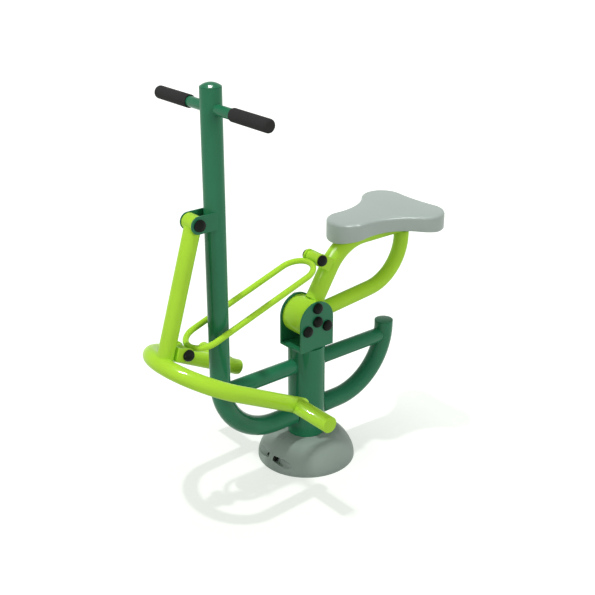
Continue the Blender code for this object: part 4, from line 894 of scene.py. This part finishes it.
def smooth_line(points, steps=5):
    """A Catmull-Rom curve through profile points, so that the dome has no facets."""
    line = []
    padded = [points[0], *points, points[-1]]
    for k in range(1, len(padded) - 2):
        a, b, c, d = map(Vector, padded[k - 1:k + 3])
        for step in range(steps):
            t = step / steps
            line.append(tuple(0.5 * (2 * b + (c - a) * t + (2 * a - 5 * b + 4 * c - d) * t ** 2
                                     + (3 * b - a - 3 * c + d) * t ** 3)))
    return line + [points[-1]]


def half_turn(profile, side, steps=72):
    """Rings for half a turn of a closed profile, with flat ends on the seam."""
    turns = [math.pi * k / steps for k in range(steps + 1)]
    return [[Vector((r * math.cos(turn), side * (SEAM + r * math.sin(turn)), z)) for r, z in profile]
            for turn in turns]


outer = smooth_line([(COVER_RADIUS * reach, COVER_HEIGHT * rise)
                     for reach, rise in zip(REACH_SHARES, RISE_SHARES)])
neck = POST_RADIUS + WELD_GAP
inner_top = COVER_HEIGHT - COVER_WALL
inner = [(max(radius - COVER_WALL, neck), min(height, inner_top)) for radius, height in outer[:-1:3]]
outer = [point for point in outer if point[0] > neck] + [(neck, COVER_HEIGHT)]
profile = outer + [(neck, inner_top)] + inner[::-1]
middle = [(CORE_RADIUS, LINER_INSET)]
middle += [(max(r - LINER_INSET, 2 * CORE_RADIUS), max(z - LINER_INSET, LINER_INSET)) for r, z in outer[::2]]
middle += [(CORE_RADIUS, COVER_HEIGHT - LINER_INSET)]
bolt_places = [(end, Vector((front * (COVER_RADIUS - TROUGH_DEPTH), 0, TROUGH_HEIGHT)))
               for end, front in (("front", 1), ("rear", -1))]
for name, side in SIDES:
    out = side * Y
    cover = keep(f"cover_half_{name}", skin(half_turn(profile, side)), "frame", [f"base_cover_{name}"],
                 slot="cover_grey", sharp=COVER_SHARP)
    for end, axis in bolt_places:
        trough = [("run", TROUGH_LENGTH)]
        liner = cutter_from(tube_rings(axis + 2 * SEAM * out, out, X, trough, COVER_TROUGH + COVER_WALL,
                                       LINER_EDGE, TROUGH_SIDES))
        carve(liner, cutter_from(turned(middle, Vector((0, 0, 0)), Z, sides=96)), "INTERSECT")
        carve(cover, liner, "UNION")
        carve(cover, cutter_from(tube_rings(axis + LAND * out, out, X, trough, COVER_TROUGH,
                                            TROUGH_EDGE, TROUGH_SIDES)))
        square = [axis + a * SCREW_HOLE / 2 * X + b * SCREW_HOLE / 2 * Z
                  for a, b in ((-1, -1), (1, -1), (1, 1), (-1, 1))]
        carve(cover, cutter_from([[point + along * out for point in square] for along in (-LAND, 2 * LAND)]))
    cover.data.shade_smooth()
    cover.data.set_sharp_from_angle(angle=math.radians(COVER_SHARP))

BOLT_HEAD, HEAD_EDGE, BOLT_TAIL, BOLT_SHANK = 0.0085, 0.001, 0.0055, 0.006
HEAD_LIFT, HEAD_HEIGHT, SHANK_SHARE = 0.0002, 0.0065, 0.45
shank, head_low, head_high = SCREW_HOLE * SHANK_SHARE, LAND + HEAD_LIFT, LAND + HEAD_HEIGHT
for end, axis in bolt_places:
    for name, side in SIDES:
        profile = [(shank, LAND - BOLT_SHANK), (shank, head_low), (BOLT_HEAD, head_low)]
        profile += [(BOLT_HEAD, head_high - HEAD_EDGE), (BOLT_HEAD - HEAD_EDGE, head_high)]
        if name == "right":
            profile += [(BOLT_TAIL, head_high), (BOLT_TAIL, head_high + BOLT_SHANK)]
        rings = turned(profile, axis, side * Y, HEXAGON)
        keep(f"cover_bolt_{end}_{name}", skin(rings), "frame", slot="cap_black", sharp=HEXAGON_SHARP)
print("cover:", mm(COVER_RADIUS * 2), "mm wide,", mm(COVER_HEIGHT), "mm high")

# %% [markdown]
# Every tube joint is welded. A weld bead is a thin ripply cord along the line where two surfaces
# meet, and the paint covers it. To find that line, rays go out along one tube's wall until they
# hit the other tube. The BVH tree of the other piece answers each ray. A bead is then a
# small ring carried along the line, which swells and shrinks every few millimetres.

# %% Helpers for weld beads
BEAD, RIPPLE, SWELL, STEPS_A_RIPPLE = 0.0013, 0.0036, 0.16, 4
THIN_END, THIN_GAIN = 0.35, 0.2


def met_line(centre, heading, across, radius, target, samples=160):
    """Where a tube's wall meets a target piece, as a closed line of points."""
    mesh = target.data
    tree = BVHTree.FromPolygons([v.co for v in mesh.vertices], [p.vertices for p in mesh.polygons])
    starts = round_ring(centre, heading, across, radius, samples)
    hits = [tree.ray_cast(start, heading)[0] for start in starts]
    return [hit for hit in hits if hit is not None]


def evened(line, gap, closed=True):
    """The same line with its points an even distance apart."""
    points = line + [line[0]] if closed else line
    lengths = [0.0]
    for a, b in zip(points, points[1:]):
        lengths.append(lengths[-1] + (b - a).length)
    count = max(8, round(lengths[-1] / gap))
    even, k = [], 0
    for step in range(count if closed else count + 1):
        goal = lengths[-1] * step / count
        while k < len(lengths) - 2 and lengths[k + 1] < goal:
            k += 1
        share = (goal - lengths[k]) / max(lengths[k + 1] - lengths[k], 1e-9)
        even.append(points[k].lerp(points[k + 1], share))
    return even


def bead(name, line, body, closed=True, size=BEAD):
    """A weld bead along a line of points."""
    points = evened(line, RIPPLE / STEPS_A_RIPPLE, closed)
    rings = []
    count = len(points)
    for k, point in enumerate(points):
        before = points[k - 1] if closed or k > 0 else point
        after = points[(k + 1) % count] if closed or k < count - 1 else point
        way = (after - before).normalized()
        across = way.orthogonal().normalized() if not rings else (across - across.dot(way) * way).normalized()
        swell = 1 + SWELL * math.cos(k * math.tau / STEPS_A_RIPPLE)
        if not closed:
            swell *= min(1.0, THIN_END + THIN_GAIN * min(k, count - 1 - k))
        rings.append(round_ring(point, way, across, size * swell, sides=8))
    keep(name, skin(rings, round_again=closed), body, sharp=80)

# %% [markdown]
# Now the beads of the frame. The tubes end on the post, the stretchers on the uprights, and the handlebar
# goes through the column, with a bead on either side. Each line says where a tube starts its
# rays, which way they go and what they meet.

# %% Weld the frame
def weld(name, start, heading, across, radius, target, body, size=BEAD):
    bead(f"weld_{name}", met_line(start, heading, across, radius, target), body, size=size)


OFF_POST, MIDWAY, OFF_COLUMN, THIN_BEAD = 0.1, 0.2, 0.06, 0.0012
keel = Z * KEEL_HEIGHT
level = Z * STRETCHER_HEIGHT
weld("column_post", keel + X * OFF_POST, -X, Y, COLUMN_RADIUS, post, "frame")
weld("riser_post", keel - X * OFF_POST, X, Y, COLUMN_RADIUS, post, "frame")
weld("front_stretcher_post", level + X * OFF_POST, -X, Y, STRETCHER_RADIUS, post, "frame")
weld("rear_stretcher_post", level - X * OFF_POST, X, Y, STRETCHER_RADIUS, post, "frame")
weld("stretcher_column", level + X * MIDWAY, X, Y, STRETCHER_RADIUS, column, "frame")
weld("stretcher_riser", level - X * MIDWAY, -X, Y, STRETCHER_RADIUS, riser, "frame")
for name, side in SIDES:
    weld(f"handlebar_{name}", handle_middle + side * Y * OFF_COLUMN, -side * Y, X, HANDLE_RADIUS, column,
         "frame", THIN_BEAD)
print("frame welds:", sum(name.startswith("weld_") for name in made))

# %% [markdown]
# Each clevis plate is welded to the column along its upper and its lower edge. Such a bead is short and
# open, so it thins out toward its ends.

# %% Weld the clevis
low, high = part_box("front_clevis_left")
across = [low.y + (high.y - low.y) * k / 6 for k in range(7)]
wall = [(COLUMN_REACH + math.sqrt(COLUMN_RADIUS ** 2 - y ** 2), y) for y in across]
for name, side in SIDES:
    for where, height in (("upper", high.z), ("lower", low.z)):
        line = [Vector((x, side * y, height)) for x, y in wall]
        bead(f"weld_clevis_{where}_{name}", line, "frame", closed=False, size=THIN_BEAD)
print("clevis welds:", sum(name.startswith("weld_clevis_") for name in made))

# %% [markdown]
# The lever's and the arm's joints are welded the same way, in the light green paint.

# %% Weld the moving parts
HUB_GAP, LEVER_GAP, ARM_GAP, LEG_GAP, REST_INSET, SMALL_BEAD = 0.03, 0.06, 0.07, 0.08, 0.0003, 0.0008
off_hub = hub_radius + HUB_GAP
weld("lever_front_hub", AXLE + front_way * off_hub, -front_way, Y, FRONT_RADIUS, hub, "seat_lever")
weld("lever_rear_hub", AXLE + rear_way * off_hub, -rear_way, Y, REAR_RADIUS, hub, "seat_lever")
below_lever = Vector((bend_centre.x - REAR_BEND, 0, lever_top - LEVER_GAP))
weld("lever_tubes", below_lever, Z, Y, REAR_RADIUS, lever_front, "seat_lever")
above_foot = FRONT_PIVOT + arm_way * (ARM_LENGTH - ARM_GAP)
weld("arm_foot", above_foot, arm_way, Y, ARM_RADIUS, foot_bar, "front_arm")
for name, side in SIDES:
    beside_leg = rest_middle + side * Y * (FOOT_BEND + LEG_GAP)
    weld(f"foot_rest_{name}", beside_leg, -side * Y, foot_up, FOOT_RADIUS - REST_INSET, foot_bar, "front_arm",
         SMALL_BEAD)
print("welds in all:", sum(name.startswith("weld_") for name in made))

# %% [markdown]
# The stage is a pale floor: a large square that shows as white where light falls on it, and keeps
# the machine's shadow. A Light Path node adds some white for the camera, and for rays that come
# off or through the object. So the lamps needn't be strong enough to bleach the object. That added
# white is painted light: it is weaker near the machine and grows with the distance from it, so the
# shadow fades away from the machine, and it is slightly green, a painted green bounce light that
# shows only in the shadow.

# %% Lay the floor
# The glow colour is slightly green: a painted green bounce light, seen only where the shadow falls.
FLOOR_COLOUR, GREEN_BOUNCE_FLOOR_GLOW = (0.46, 0.469, 0.451, 1), (0.96, 1, 0.95, 1)
SHADOW_FADE_START, SHADOW_FADE_END, NEAR_GLOW, FAR_GLOW = 0.33, 0.7, 0.62, 0.77
FLOOR_HALF, FLOOR_PLACE = 30, (0.18, 0.05, -0.0005)


def combined(tree, operation, first, second):
    """The output of a Math node on two outputs."""
    node = new_node(tree, "Math")
    node.operation = operation
    tree.links.new(first, node.inputs[0])
    tree.links.new(second, node.inputs[1])
    return node.outputs["Value"]


def seen_directly(tree):
    """An output that is 1 for camera, glossy and transmission rays, and 0 for light on its way."""
    seen = new_node(tree, "LightPath").outputs
    direct = combined(tree, "MAXIMUM", seen["Is Camera Ray"], seen["Is Glossy Ray"])
    return combined(tree, "MAXIMUM", direct, seen["Is Transmission Ray"])


paper = bpy.data.materials.new("white_floor")
paper.use_nodes = True
tree = paper.node_tree
distance = new_node(tree, "VectorMath", Vector=new_node(tree, "TexCoord").outputs["Object"])
distance.operation = "LENGTH"
# Painted light: the floor's added white grows with the distance from the machine, so the shadow fades out.
painted_shadow_fade = new_node(tree, "MapRange", Value=distance.outputs["Value"], From_Min=SHADOW_FADE_START, From_Max=SHADOW_FADE_END,
                To_Min=NEAR_GLOW, To_Max=FAR_GLOW)
lift = combined(tree, "MULTIPLY", seen_directly(tree), painted_shadow_fade.outputs["Result"])
feed(tree.nodes["Principled BSDF"], Base_Color=FLOOR_COLOUR, Roughness=0.9, Specular_IOR_Level=0.0,
     Emission_Color=GREEN_BOUNCE_FLOOR_GLOW, Emission_Strength=lift)
bm = bmesh.new()
bmesh.ops.create_grid(bm, x_segments=1, y_segments=1, size=FLOOR_HALF)
mesh = bpy.data.meshes.new("floor")
bm.to_mesh(mesh)
bm.free()
mesh.materials.append(paper)
floor = in_scene("floor", mesh)
floor.location = FLOOR_PLACE
floor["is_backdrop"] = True
print("floor laid")

# %% [markdown]
# The light is a bright, even studio. The world lights everything softly, and what shines in the
# paint is a dome that is dimmer toward its top. One lamp stands almost overhead, a little to the
# front. It is small, so it draws the clear shadow on the floor. Three large dim lamps, from the
# front, from the rider's left and from behind, round off the tubes. These four have no mirror
# image, or each would draw a streak along every tube. The last lamps are tiny and close: they
# give the few bright glints on the bends, and light nothing else.

# %% Set the lights
DOME_START, DOME_END, DOME_TOP, ROOM_LEVEL = 0.2, 0.7, 0.3, 0.36
world = bpy.data.worlds.new("studio")
world.use_nodes = True
tree = world.node_tree
height = new_node(tree, "SeparateXYZ", Vector=new_node(tree, "TexCoord").outputs["Generated"])
dome = new_node(tree, "MapRange", Value=height.outputs["Z"], From_Min=DOME_START, From_Max=DOME_END,
                To_Min=1, To_Max=DOME_TOP)
strength = new_node(tree, "MapRange", Value=seen_directly(tree), To_Min=ROOM_LEVEL,
                    To_Max=dome.outputs["Result"])
feed(tree.nodes["Background"], Color=(1, 1, 1, 1), Strength=strength.outputs["Result"])
bpy.context.scene.world = world


def lamp(name, kind, power, toward, **settings):
    """A lamp that shines along a direction."""
    data = bpy.data.lights.new(name, kind)
    data.energy = power
    for setting, value in settings.items():
        setattr(data, setting, value)
    thing = in_scene(data.name, data)
    thing.rotation_euler = Vector(toward).to_track_quat("-Z", "Y").to_euler()
    return thing


def sun(name, toward, strength, angle):
    """A sun lamp without a mirror image. Its angle sets how soft the shadow is."""
    lamp(name, "SUN", strength, toward, angle=math.radians(angle)).visible_glossy = False


def glint(piece, target, toward_lamp, width, height, power, distance=0.25):
    """A small lamp close to one place of a piece. Only its mirror image shows, not its light."""
    way = Vector(toward_lamp).normalized()
    near = lamp(f"{piece.name}_glint", "AREA", power, -way, shape="ELLIPSE", size=width, size_y=height)
    near.location = Vector(target) + distance * way
    near.visible_diffuse = near.visible_camera = False
    near.light_linking.receiver_collection = bpy.data.collections.new(near.name)
    near.light_linking.receiver_collection.objects.link(piece)


sun("overhead", toward=(-0.18, 0.085, -1), strength=1.38, angle=2)
sun("front_fill", toward=(-0.961, 0.101, -0.259), strength=0.87, angle=20)
sun("side_fill", toward=(0.266, -0.929, -0.259), strength=0.87, angle=20)
sun("rear_fill", toward=(0.628, 0.136, -0.766), strength=0.22, angle=30)
# Each row is a piece, a place on it, the way from there to the lamp, the lamp's two sizes and its power.
for name, *light in (
    ("foot_rest_left", (0.191, 0.238, 0.318), (0.527, -0.667, 0.527), 0.05, 0.16, 4),
    ("foot_bar_bend", (0.508, 0.097, 0.487), (0.22, -0.02, 0.97), 0.05, 0.12, 4),
    ("column_dome", (0.34, 0.019, 1.224), (-0.111, -0.209, 0.972), 0.08, 0.1, 2.5),
    ("lever_front_bend", (-0.093, 0.011, 0.665), (0.59, -0.007, 0.807), 0.02, 0.45, 7),
    ("saddle_shell", (-0.118, 0.048, 0.751), (0.432, 0.586, 0.685), 0.12, 0.14, 4),
    ("saddle_shell", (-0.317, 0.112, 0.751), (0.347, 0.638, 0.687), 0.2, 0.15, 2.5),
):
    glint(made[name], *light)

bpy.context.scene.view_settings.view_transform = "Standard"

# %% [markdown]
# Last, the dressed machine's box and the solid one's are both printed.

# %% Measure and finish
dressed_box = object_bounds()
for name, (low, high) in (("solid", solid_box), ("dressed", dressed_box)):
    print(name, [mm(value) for value in high - low], "mm")
